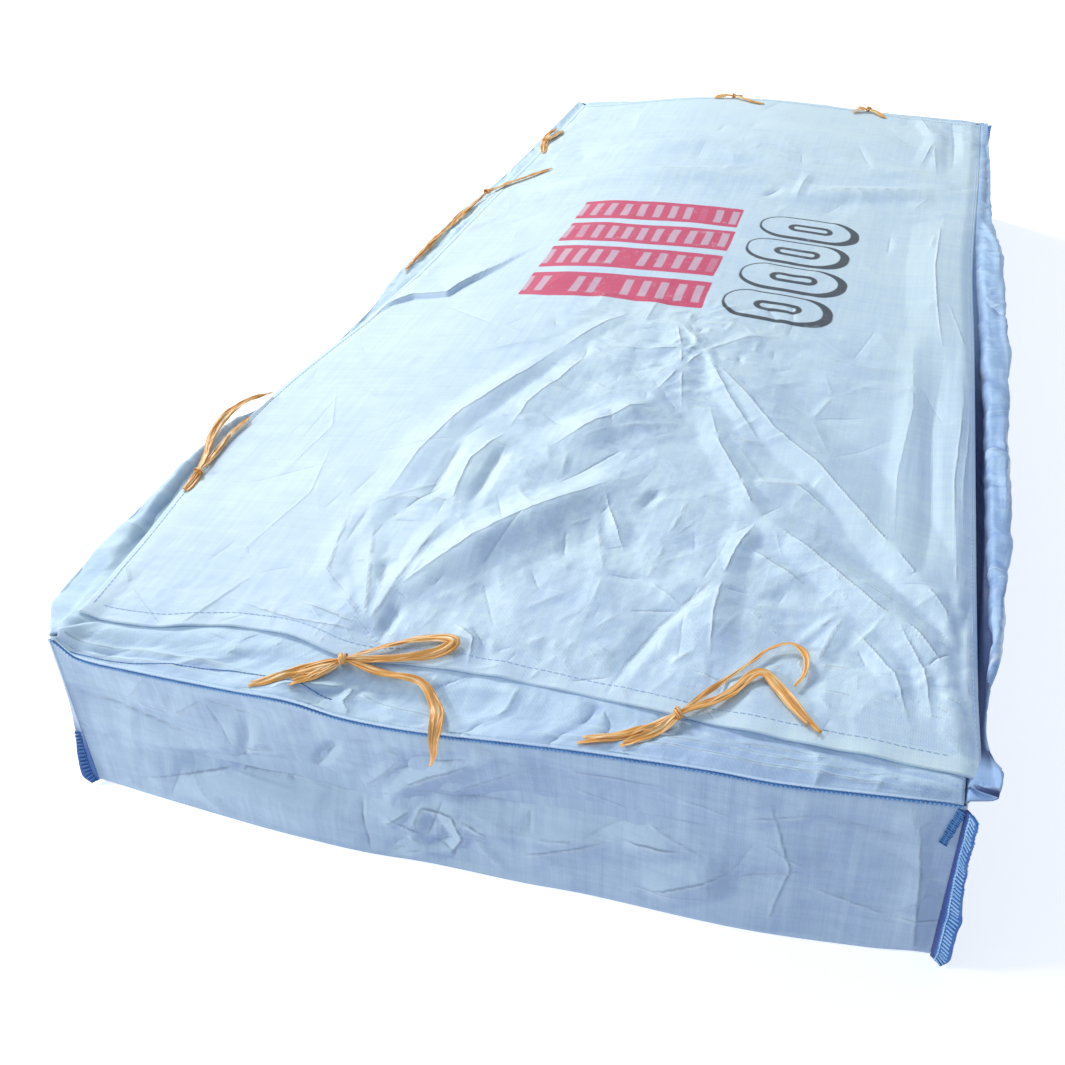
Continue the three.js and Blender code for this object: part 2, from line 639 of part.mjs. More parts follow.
// Middle surface of a skirt: it stands up from the wall's top seam, rolls out, and runs in under the lid
function skirtMiddle({ side, top, dive, cleft, rest }) {
  const { length } = sideLine(side, 0, 1);
  return (u, v) => {
    const profile = (column) => smooth(SKIRT_PROFILE, column, v);
    const depth = profile("inwards") * SKIRT_DEPTH;
    const cut = (CORNER_GAP + MITRE * depth) / length;
    const at = THREE.MathUtils.lerp(cut, 1 - cut, u);
    const rim = wallPoint(side, at, 1);
    const { outward } = sideLine(side, at, 1);
    const roll = smooth(side.rows, "roll", at) - smooth(side.rows, "rim", at);
    const out = roll * profile("out") - depth - CLOTH / 2;
    const place = new THREE.Vector2(rim.x, rim.y).addScaledVector(outward, out);
    const covered = underLid(place.x, place.y);
    const full = THREE.MathUtils.smoothstep(Math.min(at, 1 - at), 0, ROLL_END.run);
    const free = rim.z + SEAM_GAP + top * profile("up") * THREE.MathUtils.lerp(ROLL_END.share, 1, full);
    const sag = SKIRT_SAG * THREE.MathUtils.smoothstep(covered, SAG_START, SKIRT_DEPTH);
    const under = lidForm(place.x, place.y) - CLOTH - rest - cleft * ridge(covered, CLEFT_WIDTH) - sag;
    const past = THREE.MathUtils.smoothstep(v, SEAM_SHARE, TURN_SHARE);
    const share = past * THREE.MathUtils.smoothstep(covered, -dive, -DIVE_END);
    const height = THREE.MathUtils.lerp(free, under, share);
    const overRim = v < SEAM_SHARE ? 0 : rim.z + RIM.clearance - depth * RIM.slope;
    return new THREE.Vector3(place.x, place.y, Math.max(height, overRim));
  };
}

// The corner fins

// A wavy strip standing out from the corner between two sides, along its diagonal
function finGeometry(before, after) {
  const wave = (up) => FIN_WAVES.reduce((sum, w) => sum + w.size * Math.sin(w.rate * up + w.phase), 0);
  const middle = (u, v) => {
    const up = THREE.MathUtils.lerp(FIN_SPAN.foot, FIN_SPAN.top, v);
    const [end, start] = [sideLine(before, 1, up), sideLine(after, 0, up)];
    const outward = end.outward.clone().add(start.outward).normalize();
    const edge = wallPoint(after, 0, up);
    const reach = FIN_GAP + u * (FIN_WIDTH + wave(up));
    const sway = u * u * FIN_SWAY.size * Math.sin(FIN_SWAY.rate * up);
    const sideways = new THREE.Vector2(-outward.y, outward.x).multiplyScalar(sway);
    const place = new THREE.Vector2(edge.x, edge.y).addScaledVector(outward, reach).add(sideways);
    return new THREE.Vector3(place.x, place.y, edge.z + (FIN_THICKNESS / 2) * (1 - v));
  };
  return sheet(middle, FIN_COLUMNS, FIN_ROWS, FIN_THICKNESS);
}

// The ties

// A flat tape along a strand's points, kept clear of the cloth below it over its whole width
function tapeGeometry(points, highest) {
  const curve = new THREE.CatmullRomCurve3(points, false, "centripetal");
  const steps = Math.max(LEAST_TAPE_STEPS, Math.round(curve.getLength() / TAPE_STEP));
  const geometry = new THREE.BoxGeometry(1, 1, 1, steps, 1, 1);
  const position = geometry.getAttribute("position");
  const sections = Array.from({ length: steps + 1 }, (_, i) => {
    const place = curve.getPointAt(i / steps);
    const tangent = curve.getTangentAt(i / steps);
    const sideways = new THREE.Vector3(-tangent.y, tangent.x, 0).normalize();
    const upward = tangent.clone().cross(sideways).normalize();
    const clear = highest(place.x, place.y, TAPE_WIDTH / 2) + TAPE_CLEARANCE + TAPE_THICKNESS / 2;
    place.z = Math.max(place.z, clear);
    return { place, sideways, upward };
  });
  for (let i = 0; i < position.count; i += 1) {
    const { place, sideways, upward } = sections[Math.round((position.getX(i) + 0.5) * steps)];
    const corner = place.clone();
    corner.addScaledVector(sideways, position.getY(i) * TAPE_WIDTH);
    corner.addScaledVector(upward, position.getZ(i) * TAPE_THICKNESS);
    position.setXYZ(i, corner.x, corner.y, corner.z);
  }
  return geometry;
}

function knotGeometry(place, turn) {
  const geometry = new THREE.SphereGeometry(0.5, KNOT.around, KNOT.down);
  geometry.rotateX(Math.PI / 2);
  geometry.scale(KNOT.length, KNOT.width, KNOT.height);
  geometry.rotateZ(THREE.MathUtils.degToRad(turn));
  geometry.translate(place.x, place.y, place.z);
  return geometry;
}

function tieGeometry({ knot, strands }, highest) {
  const knotHeight = highest(knot.x, knot.y, KNOT.width / 2) + KNOT.height / 2 + TAPE_CLEARANCE;
  const middle = new THREE.Vector3(knot.x, knot.y, knotHeight);
  const resting = TAPE_CLEARANCE + TAPE_THICKNESS / 2;
  const place = ({ x, y, lift = 0, height }) =>
    new THREE.Vector3(x, y, height ?? highest(x, y, TAPE_WIDTH / 2) + resting + lift);
  const tapes = strands.map(({ points, loop }) =>
    tapeGeometry([middle, ...points.map(place), ...(loop ? [middle] : [])], highest),
  );
  return joined([knotGeometry(middle, knot.turn), ...tapes]);
}

// The whole bag

const bag = new THREE.Group();

function add(name, geometry, { color, roughness }) {
  const material = new THREE.MeshStandardMaterial({ color, roughness, metalness: 0 });
  const mesh = new THREE.Mesh(geometry, material);
  mesh.name = name;
  bag.add(mesh);
  return mesh;
}

add("body", bodyGeometry(), LOOKS.wallCloth);
add("fin_front_left", finGeometry(LEFT, FRONT), LOOKS.overlock);
add("fin_front_right", finGeometry(FRONT, RIGHT), LOOKS.overlock);
add("fin_back_right", finGeometry(RIGHT, BACK), LOOKS.overlock);
add("fin_back_left", finGeometry(BACK, LEFT), LOOKS.overlock);
const skirts = SKIRT_FORMS.map((form) => {
  const geometry = sheet(skirtMiddle(form), form.side.steps, SKIRT_ROWS, CLOTH);
  return add(form.name, geometry, LOOKS.skirtCloth);
});
const lid = add("lid", sheet(lidMiddle, LID_COLUMNS, LID_ROWS, CLOTH), LOOKS.lidCloth);
bag.updateMatrixWorld(true);

// Highest point of the cloth within a distance of a place, and minus infinity beside it
const downwards = new THREE.Raycaster();
function highest(x, y, reach) {
  const ring = Array.from({ length: RING_PLACES }, (_, i) => (2 * Math.PI * i) / RING_PLACES);
  const places = [[x, y], ...ring.map((a) => [x + reach * Math.cos(a), y + reach * Math.sin(a)])];
  const heights = places.flatMap(([px, py]) => {
    downwards.set(new THREE.Vector3(px, py, RAY_HEIGHT), new THREE.Vector3(0, 0, -1));
    return downwards.intersectObjects([lid, ...skirts]).map((hit) => hit.point.z);
  });
  return Math.max(...heights, -Infinity);
}
for (const tie of TIES) add(tie.name, tieGeometry(tie, highest), LOOKS.tape);

export default bag;
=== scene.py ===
"""Large flat woven bag for sheet material, lying closed and tied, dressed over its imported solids.

Sizes are in millimetres, +X to the right, +Y away from the near end, +Z up, with the origin in the middle of
the base's underside. A mesh is scaled to metres when it is made.
"""

import sys
import logging
import math
from collections.abc import Callable, Sequence
from dataclasses import dataclass, field
from enum import Enum
from functools import cache

import bpy
import numpy as np
from mathutils import Matrix, Vector
from mathutils.bvhtree import BVHTree
from mathutils.geometry import delaunay_2d_cdt


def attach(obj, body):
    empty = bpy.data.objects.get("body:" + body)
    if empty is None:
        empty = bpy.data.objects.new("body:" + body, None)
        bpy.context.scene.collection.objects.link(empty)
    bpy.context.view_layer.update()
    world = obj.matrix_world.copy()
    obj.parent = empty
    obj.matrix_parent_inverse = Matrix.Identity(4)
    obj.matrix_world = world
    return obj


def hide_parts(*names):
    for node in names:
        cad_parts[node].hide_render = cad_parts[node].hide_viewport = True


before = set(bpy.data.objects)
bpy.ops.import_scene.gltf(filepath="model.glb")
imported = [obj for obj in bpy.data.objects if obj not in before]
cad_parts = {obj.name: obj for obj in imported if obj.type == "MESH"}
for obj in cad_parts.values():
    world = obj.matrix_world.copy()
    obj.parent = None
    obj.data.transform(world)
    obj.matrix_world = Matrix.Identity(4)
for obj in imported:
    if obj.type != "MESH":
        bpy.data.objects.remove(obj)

Array = np.ndarray
Point = tuple[float, float]
Piece = bpy.types.Object
Material = bpy.types.Material
log = logging.getLogger("bag")

METRES = 0.001  # A millimetre in metres
ROOT = "root"
PHOTO_SIDE = 1065.0  # Side of the photograph, in pixels


# Curves and fields


def lerp(a: Array, b: Array, share: Array) -> Array:
    """Return the value a share of the way from a to b."""
    return a + (b - a) * share


def smoothstep(value: Array, low: float, high: float) -> Array:
    """Return 0 below low and 1 above high, with a smooth turn between them."""
    t = np.clip((value - low) / (high - low), 0.0, 1.0)
    return t * t * (3 - 2 * t)


def ridge(distance: Array, width: float) -> Array:
    """Return a soft ridge's share of its height at a distance from its line."""
    d = np.minimum(np.abs(distance) / width, 1.0)
    return (1 - d) ** 2 * (1 + 2 * d)


def unit(vectors: Array) -> Array:
    """Return vectors cut or stretched to length 1."""
    return vectors / np.maximum(np.linalg.norm(vectors, axis=-1, keepdims=True), 1e-9)


def soft_fold(x: Array, y: Array, row: Sequence[float], ends: float) -> Array:
    """Return the height of a long soft fold.

    Args:
        x, y: The places' coordinates.
        row: Where the fold starts and where it ends, its width and its height.
        ends: Share of the height at both ends.

    Returns:
        Heights, in the shape of x.
    """
    x0, y0, x1, y1, width, height = row
    dx, dy = x1 - x0, y1 - y0
    along = np.clip(((x - x0) * dx + (y - y0) * dy) / (dx * dx + dy * dy), 0, 1)
    away = np.hypot(x - x0 - along * dx, y - y0 - along * dy)
    return height * ridge(away, width) * (ends + (1 - ends) * np.sin(np.pi * along))


@dataclass(frozen=True)
class Track:
    """A smooth curve through a table's rows, flat at both ends."""

    at: tuple[float, ...]  # The rows' places, in rising order
    value: tuple[float, ...]  # The curve's value at each of them

    @classmethod
    def of(cls, rows: Sequence[Sequence[float]], column: int = 1) -> "Track":
        """Return the track of one column of a table whose first column is the place."""
        return cls(tuple(r[0] for r in rows), tuple(r[column] for r in rows))

    def __call__(self, place: Array | float) -> Array:
        """Return the curve's value at a place.

        Args:
            place: One place or an array of them. Beyond the ends the end value holds.

        Returns:
            The values, in the shape of place.
        """
        at, value = np.asarray(self.at, float), np.asarray(self.value, float)
        slope = np.zeros(len(at))
        slope[1:-1] = (value[2:] - value[:-2]) / (at[2:] - at[:-2])
        x = np.clip(np.asarray(place, float), at[0], at[-1])
        i = np.clip(np.searchsorted(at, x, side="right") - 1, 0, len(at) - 2)
        span = at[i + 1] - at[i]
        t = (x - at[i]) / span
        t2, t3 = t * t, t * t * t
        return (
            (2 * t3 - 3 * t2 + 1) * value[i]
            + (t3 - 2 * t2 + t) * slope[i] * span
            + (3 * t2 - 2 * t3) * value[i + 1]
            + (t3 - t2) * slope[i + 1] * span
        )


@dataclass(frozen=True)
class Crease:
    """A sharp fold along a line of straight stretches, with a flat flank on either hand."""

    points: tuple[Point, ...]  # The line's points in plan, or along and up a wall
    left: float  # Width of the flank on the left hand of one who walks along the line
    right: float  # Width of the flank on the right hand
    height: float  # Height of the crest, below 0 for a valley
    start: float = 0.1  # Share of the height at the line's start
    end: float = 0.1  # Share of it at the line's end

    FULL = 5.0  # Height of a crease whose line is fully sharp
    CREST = 3.0  # Radius of the crest in the mesh

    def press(self, x: Array, y: Array) -> tuple[Array, Array, Array, Array]:
        """Return where the crease lies on a flat list of places, and what it does there.

        Args:
            x, y: The places' coordinates.

        Returns:
            The indices of the places it reaches; and at them its signed height, the distance from its line,
            above 0 on its left hand, and the line's sharpness.
        """
        line = np.asarray(self.points, float)
        reach = max(self.left, self.right)
        low, high = line.min(0) - reach, line.max(0) + reach
        near = np.nonzero((x > low[0]) & (x < high[0]) & (y > low[1]) & (y < high[1]))[0]
        px, py = x[near], y[near]
        best = np.full(len(near), 1e9)
        side, gone = np.zeros(len(near)), np.zeros(len(near))
        lengths = np.hypot(*(line[1:] - line[:-1]).T)
        before = np.concatenate([[0.0], np.cumsum(lengths)])
        for (ax, ay), (bx, by), run, done in zip(line[:-1], line[1:], lengths, before):
            dx, dy = (bx - ax) / run, (by - ay) / run
            along = np.clip((px - ax) * dx + (py - ay) * dy, 0, run)
            away = np.hypot(px - ax - along * dx, py - ay - along * dy)
            hand = dx * (py - ay) - dy * (px - ax)
            closer = away < best
            best = np.where(closer, away, best)
            side = np.where(closer, hand, side)
            gone = np.where(closer, done + along, gone)
        width = np.where(side > 0, self.left, self.right)
        tent = np.clip(1 - (np.hypot(best, self.CREST) - self.CREST) / width, 0, 1)
        share = gone / before[-1]
        ends = np.interp(share, [0, 0.25, 0.7, 1], [self.start, 1, 1, self.end])
        sharp = np.clip(self.height / self.FULL, -1, 1) * ends
        return near, self.height * ends * tent, np.copysign(best, side), sharp


def crease_table(*rows: tuple) -> tuple[Crease, ...]:
    """Return the creases of a table: points, left flank, right flank, height, and shares at start and end."""
    return tuple(Crease(*row) for row in rows)


@dataclass(frozen=True)
class Facets:
    """Flat facets between scattered points, as crushed cloth keeps them."""

    spacing: float  # Mean distance between the points
    height: float  # Most that a point stands up or down
    seed: int
    # Lowest and highest first coordinate, then lowest and highest second one
    area: tuple[float, float, float, float]

    JITTER = 0.46  # How far a point strays each way, as a share of the spacing
    VALLEYS = 0.38  # Share of the sharp edges that are valleys
    FLANK = 0.42  # Width of their flanks, as a share of the spacing

    @cache
    def scatter(self) -> tuple[Array, Array, Array, list[list[int]]]:
        """Return the facets' points and triangles.

        Returns:
            Two arrays of places, the share of the height at each, and the numbers of each triangle's points.
        """
        rng = np.random.default_rng(self.seed)
        s = self.spacing
        x0, x1, y0, y1 = self.area
        gx, gy = np.meshgrid(np.arange(x0 - 2 * s, x1 + 2 * s, s), np.arange(y0 - 2 * s, y1 + 2 * s, s))
        gx = gx.ravel() + rng.uniform(-self.JITTER, self.JITTER, gx.size) * s
        gy = gy.ravel() + rng.uniform(-self.JITTER, self.JITTER, gy.size) * s
        share = rng.uniform(-1, 1, gx.shape)
        places = [Vector((a, b)) for a, b in zip(gx, gy)]
        _, _, faces, origin, _, _ = delaunay_2d_cdt(places, [], [], 0, 1e-6)
        return gx, gy, share, [[origin[i][0] for i in face] for face in faces]

    def edges(self, zone: Callable[[Array, Array], Array], keep: float) -> tuple[Crease, ...]:
        """Return some of the facets' edges as sharp creases.

        Args:
            zone: How crushed the cloth is at a place.
            keep: Share of the edges kept where it is fully crushed.

        Returns:
            The creases.
        """
        gx, gy, _, faces = self.scatter()
        rng = np.random.default_rng(self.seed + 100)
        pairs = sorted({tuple(sorted((f[i], f[i - 1]))) for f in faces for i in range(3)})
        made = []
        for a, b in pairs:
            chance, flip, size, wide, narrow = rng.uniform(size=5)
            crushed = float(zone((gx[a] + gx[b]) / 2, (gy[a] + gy[b]) / 2))
            if chance > keep * crushed:
                continue
            way = 1 if flip > self.VALLEYS else -1
            height = (0.35 + 0.65 * size) * self.height * (0.5 + 0.5 * crushed) * way
            spread = self.spacing * self.FLANK
            points = ((gx[a], gy[a]), (gx[b], gy[b]))
            made.append(Crease(points, spread * (0.2 + wide), spread * (0.2 + narrow), height, 0.5, 0.5))
        return tuple(made)

    def raise_on(self, x: Array, y: Array, zone: Callable[[Array, Array], Array]) -> Array:
        """Return the facets' height at places.

        Args:
            x, y: The places' coordinates.
            zone: Share of the full height at a place, taken at the facets' points.

        Returns:
            The heights, in the shape of x.
        """
        gx, gy, share, faces = self.scatter()
        top = self.height * share * zone(gx, gy)
        px, py = x.ravel(), y.ravel()
        out = np.zeros(len(px))
        order = np.argsort(px, kind="stable")
        sx = px[order]
        for a, b, c in faces:
            xs, ys = gx[[a, b, c]], gy[[a, b, c]]
            first, last = np.searchsorted(sx, [xs.min(), xs.max()])
            part = order[first:last]
            part = part[(py[part] >= ys.min()) & (py[part] <= ys.max())]
            if not len(part):
                continue
            area = (xs[1] - xs[0]) * (ys[2] - ys[0]) - (xs[2] - xs[0]) * (ys[1] - ys[0])
            if abs(area) < 1e-9:
                continue
            qx, qy = px[part], py[part]
            w1 = ((qx - xs[0]) * (ys[2] - ys[0]) - (xs[2] - xs[0]) * (qy - ys[0])) / area
            w2 = ((xs[1] - xs[0]) * (qy - ys[0]) - (qx - xs[0]) * (ys[1] - ys[0])) / area
            inside = (w1 >= -1e-9) & (w2 >= -1e-9) & (w1 + w2 <= 1 + 1e-9)
            value = top[a] + (top[b] - top[a]) * w1 + (top[c] - top[a]) * w2
            out[part[inside]] = value[inside]
        return out.reshape(x.shape)


@dataclass(frozen=True)
class Pressed:
    """What creases do to a grid of places."""

    height: Array  # How far they raise it: the highest ridge and the deepest valley
    line: Array  # Distance from the nearest crease's line, above 0 on its left hand
    sharp: Array  # That line's sharpness, below 0 in a valley

    FAR = 14.0  # Distance from which on a line draws nothing

    @classmethod
    def by(cls, creases: Sequence[Crease], x: Array, y: Array) -> "Pressed":
        """Return what creases do to places.

        Args:
            creases: The creases.
            x, y: The places' coordinates.

        Returns:
            Heights and marks, in the shape of x.
        """
        px, py = x.ravel(), y.ravel()
        up, down, sharp = np.zeros(len(px)), np.zeros(len(px)), np.zeros(len(px))
        line, second = np.full(len(px), cls.FAR), np.full(len(px), cls.FAR)
        for crease in creases:
            near, height, away, keen = crease.press(px, py)
            up[near] = np.maximum(up[near], height)
            down[near] = np.minimum(down[near], height)
            gap, before = np.abs(away), np.abs(line[near])
            second[near] = np.minimum(second[near], np.maximum(gap, before))
            closer = gap < before
            line[near[closer]], sharp[near[closer]] = away[closer], keen[closer]
        # Where two lines run together neither is drawn, and nor is one far off
        apart = smoothstep(second - np.abs(line), 7, 14)
        sharp = sharp * apart * smoothstep(cls.FAR - np.abs(line), 0, cls.FAR / 2)
        return cls((up + down).reshape(x.shape), line.reshape(x.shape), sharp.reshape(x.shape))

    def marks(self, name: str, share: Array) -> dict[str, Array]:
        """Return the marks that draw the lines' painted highlight and shadow and their ridge, by name, with a
        share of their sharpness.
        """
        return {"line" + name: self.line, "sharp" + name: self.sharp * share}


# Meshes


def link(name: str, data: bpy.types.ID) -> Piece:
    """Make an object of some data and link it to the scene.

    Args:
        name: The object's name.
        data: Its mesh, lamp or camera.

    Returns:
        The new object.
    """
    made = bpy.data.objects.new(name, data)
    bpy.context.scene.collection.objects.link(made)
    return made


@dataclass
class Surface:
    """A mesh in the making, in millimetres."""

    places: Array
    faces: list[tuple[int, ...]]
    cloth: Array  # Cloth coordinates, along the two threads
    # Numbers in cloth of each face's corners, where they aren't the vertices' own
    cloth_faces: list[tuple[int, ...]] | None = None
    marks: dict[str, Array] = field(default_factory=dict)  # Numbers kept at the vertices, by name

    def make(self, name: str, material: Material) -> Piece:
        """Make the Blender object, smooth-shaded, at the origin.

        Args:
            name: The object's name.
            material: The finish of all its faces.

        Returns:
            The new object, linked to the scene.
        """
        mesh = bpy.data.meshes.new(name)
        mesh.from_pydata((self.places * METRES).tolist(), [], self.faces)
        layer = mesh.uv_layers.new(name="cloth")
        corners = self.cloth_faces or self.faces
        numbers = np.concatenate([np.asarray(f) for f in corners]) if corners else np.zeros(0, int)
        layer.data.foreach_set("uv", (self.cloth[numbers] * METRES).astype(np.float32).ravel())
        for mark, values in self.marks.items():
            attribute = mesh.attributes.new(mark, "FLOAT", "POINT")
            attribute.data.foreach_set("value", np.asarray(values, np.float32))
        mesh.polygons.foreach_set("use_smooth", np.ones(len(mesh.polygons), bool))
        mesh.materials.append(material)
        mesh.validate(clean_customdata=False)
        mesh.update()
        return link(name, mesh)


def normals_of(grid: Array) -> Array:
    """Return the unit normals of a grid of points, columns crossed with rows."""
    return unit(np.cross(np.gradient(grid, axis=1), np.gradient(grid, axis=0)))


def closed_sheet(
    top: Array, bottom: Array, cloth: Array, marks: dict[str, Array], under: dict[str, Array] | None = None
) -> Surface:
    """Join an upper and a lower grid into one closed sheet.

    Args:
        top: Upper grid, rows by columns by 3.
        bottom: Lower grid over the same outline, as fine or a whole number of times coarser.
        cloth: Cloth coordinates of the upper grid.
        marks: Numbers of the upper grid's points, by name.
        under: Those that differ at the points below them.

    Returns:
        The closed surface.
    """
    rows, columns = top.shape[:2]
    low_rows, low_columns = bottom.shape[:2]
    ky, kx = (rows - 1) // (low_rows - 1), (columns - 1) // (low_columns - 1)
    upper = np.arange(rows * columns).reshape(rows, columns)
    lower = rows * columns + np.arange(low_rows * low_columns).reshape(low_rows, low_columns)

    def cells(n: Array) -> Array:
        """Return the four corners of each cell of a grid of numbers."""
        return np.stack([n[:-1, :-1], n[:-1, 1:], n[1:, 1:], n[1:, :-1]], -1).reshape(-1, 4)

    faces = cells(upper).tolist() + cells(lower)[:, ::-1].tolist()
    rims = [
        (upper[0], lower[0], kx, False),
        (upper[-1], lower[-1], kx, True),
        (upper[:, 0], lower[:, 0], ky, True),
        (upper[:, -1], lower[:, -1], ky, False),
    ]
    for high, low, k, turned in rims:
        for j in range(len(low) - 1):
            loop = [*high[j * k : (j + 1) * k + 1][::-1], low[j], low[j + 1]]
            faces.append([int(i) for i in (loop[::-1] if turned else loop)])
    places = np.concatenate([top.reshape(-1, 3), bottom.reshape(-1, 3)])
    spread = np.concatenate([cloth.reshape(-1, 2), cloth[::ky, ::kx].reshape(-1, 2)])
    both = {
        name: np.concatenate([values.ravel(), (under or {}).get(name, values)[::ky, ::kx].ravel()])
        for name, values in marks.items()
    }
    return Surface(places, [tuple(f) for f in faces], spread, marks=both)


def bend_marks(height: Array, scale: float) -> Array:
    """Return how sharply a grid of heights bends: above 0 on crests, below 0 in valleys.

    Args:
        height: The grid of heights.
        scale: Height difference over neighbouring points that counts as a full crease.

    Returns:
        The bend, cut to -1..1, in the shape of height.
    """
    padded = np.pad(height, 1, mode="edge")
    around = (padded[:-2, 1:-1] + padded[2:, 1:-1] + padded[1:-1, :-2] + padded[1:-1, 2:]) / 4
    return np.clip((height - around) / scale, -1, 1)


def painted_light_marks(height: Array, x: Array, y: Array, scale: float) -> Array:
    """Return how a relief leans, above 0 where it faces the far left, for light and shade painted into the
    colour.

    Args:
        height: The relief's heights on a grid.
        x: The grid's first coordinate, growing along its rows.
        y: Its second one, growing from row to row.
        scale: Slope that counts as fully leaning.

    Returns:
        The lean, cut to -1..1, in the shape of height.
    """
    across = np.gradient(height, axis=1) / np.maximum(np.gradient(x, axis=1), 0.5)
    along = np.gradient(height, axis=0) / np.maximum(np.gradient(y, axis=0), 0.5)
    return np.clip((0.8 * across - 0.6 * along) / scale, -1, 1)


# The bag's outline


@dataclass(frozen=True)
class Corner:
    """A corner of the bag: its plain place, and where its foot and its rim stand from it."""

    x: float
    y: float
    height: float
    foot: Point
    rim: Point


class Curve(Enum):
    """Columns of a side's table after the place."""

    FOOT = 1
    BELLY = 2
    RIM = 3
    HEIGHT = 4
    ROLL = 5


HALF_WIDTH, HALF_LENGTH = 625.0, 1300.0
CLOTH = 2.5  # Thickness of every sheet
FRONT_LEFT = Corner(-HALF_WIDTH, -HALF_LENGTH, 260, (-12, 1), (-8, 6))
FRONT_RIGHT = Corner(HALF_WIDTH, -HALF_LENGTH, 290, (-8, -6), (2, -6))
BACK_RIGHT = Corner(HALF_WIDTH, HALF_LENGTH, 279, (-12, -2), (-9, 0))
BACK_LEFT = Corner(-HALF_WIDTH, HALF_LENGTH, 284, (12, -2), (16, 0))


@dataclass(frozen=True)
class Side:
    """One side of the bag, from one corner to the next, walking round with the outside on the right hand."""

    name: str
    start: Corner
    end: Corner
    rows: tuple[tuple[float, ...], ...]  # Table of place, foot, belly, rim, height and roll
    # Long soft folds: from and to along and up in shares, width and depth
    folds: tuple[tuple[float, ...], ...] = ()
    creases: tuple[Crease, ...] = ()  # Sharp creases, along and up in millimetres
    crush: float = 0.8  # Share of the facets' height all along this wall
    crushed: tuple[tuple[float, float, float], ...] = ()  # Stretches with more of it: middle, reach and share

    FADE = (0.125, 0.16)  # Shares of the length and of the height over which its folds fade out
    # Spacing and height of its large and its small facets, and of its net of small creases
    COARSE, FINE, NET = (150, 3.6), (46, 1.5), (85, 3.2)
    KEPT = 0.3  # Share of the net's edges that are creases
    GATHERS = 0.9  # Height of the gathers under the seam

    @property
    def run(self) -> float:
        """Return the side's nominal length."""
        return 2 * (HALF_WIDTH if self.start.y == self.end.y else HALF_LENGTH)

    def curve(self, kind: Curve, at: Array) -> Array:
        """Return one of the side's curves at shares of its length."""
        return Track.of(self.rows, kind.value)(at)

    def line(self, at: Array, up: Array) -> tuple[Array, Array]:
        """Return the straight line's place in plan and its outward way.

        Args:
            at, up: Shares of the side's length and of the wall's height.

        Returns:
            Places and unit vectors, with two numbers in the last axis.
        """
        at, up = np.broadcast_arrays(np.asarray(at, float), np.asarray(up, float))

        def corner(c: Corner) -> Array:
            """Return a corner's place at the wall's height."""
            x = c.x + lerp(c.foot[0], c.rim[0], up)
            return np.stack([x, c.y + lerp(c.foot[1], c.rim[1], up)], -1)

        first, last = corner(self.start), corner(self.end)
        way = unit(last - first)
        outward = np.stack([way[..., 1], -way[..., 0]], -1)
        return lerp(first, last, at[..., None]), outward

    def wall(self, at: Array, up: Array) -> Array:
        """Return places of the wall's outside, without its small creases.

        Args:
            at, up: Shares of the side's length and of the wall's height.

        Returns:
            Places, with three numbers in the last axis.
        """
        at, up = np.broadcast_arrays(np.asarray(at, float), np.asarray(up, float))
        place, outward = self.line(at, up)
        height = self.curve(Curve.HEIGHT, at)
        foot, rim = self.curve(Curve.FOOT, at), self.curve(Curve.RIM, at)
        belly = self.curve(Curve.BELLY, at)
        fade = np.minimum(1, np.minimum((1 - up) / self.FADE[1], up / self.FADE[1]))
        fold = self.fold_depth(at, up, height) * np.minimum(1, np.minimum(at, 1 - at) / self.FADE[0])
        out = lerp(foot, rim, up) + (belly - (foot + rim) / 2) * 4 * up * (1 - up) + fold * fade
        flat = place + outward * out[..., None]
        return np.concatenate([flat, (height * up)[..., None]], -1)

    def fold_depth(self, at: Array, up: Array, height: Array) -> Array:
        """Return how far the long folds stand out at places.

        Args:
            at, up: Shares of the side's length and of the wall's height.
            height: The wall's height there.

        Returns:
            Distances outwards.
        """
        total = np.zeros(at.shape)
        for at0, up0, at1, up1, width, depth in self.folds:
            row = (at0 * self.run, up0 * height, at1 * self.run, up1 * height, width, depth)
            total = total + soft_fold(at * self.run, up * height, row, 0.4)
        return total

    def crumple(self, at: Array, up: Array) -> tuple[Array, Pressed, Pressed]:
        """Return how far the sharp creases, facets and gathers stand out on a grid of places.

        Args:
            at, up: Shares of the side's length and of the wall's height.

        Returns:
            Distances outwards, what the creases do, and what the finer ones do.
        """
        s, z = at * self.run, up * self.curve(Curve.HEIGHT, at)
        edge = np.minimum(1, np.minimum(s, self.run - s) / 25) * smoothstep(up, 0.0, 0.1)
        held = edge * (1 - smoothstep(up, 0.9, 1.0))

        def zone(a: Array, b: Array) -> Array:
            """Return how crushed the wall is."""
            spots = [np.exp(-(((a - c) / w) ** 2)) * k for c, w, k in self.crushed]
            return self.crush + sum(spots, np.zeros(np.shape(a)))

        seed = 40 + len(self.name)
        area = (0.0, self.run, 0.0, 300.0)
        pressed = Pressed.by(self.creases, s, z)
        net = Pressed.by(Facets(*self.NET, seed + 2, area).edges(zone, self.KEPT), s, z)
        out = pressed.height + net.height + Facets(*self.COARSE, seed, area).raise_on(s, z, zone)
        out = out + Facets(*self.FINE, seed + 1, area).raise_on(s, z, zone)
        gathers = np.sin(s / 17.0 + 3 * np.sin(s / 83.0)) * np.sin(s / 41.0 + 1.0)
        return (out + self.GATHERS * gathers * smoothstep(up, 0.72, 0.9)) * held, pressed, net


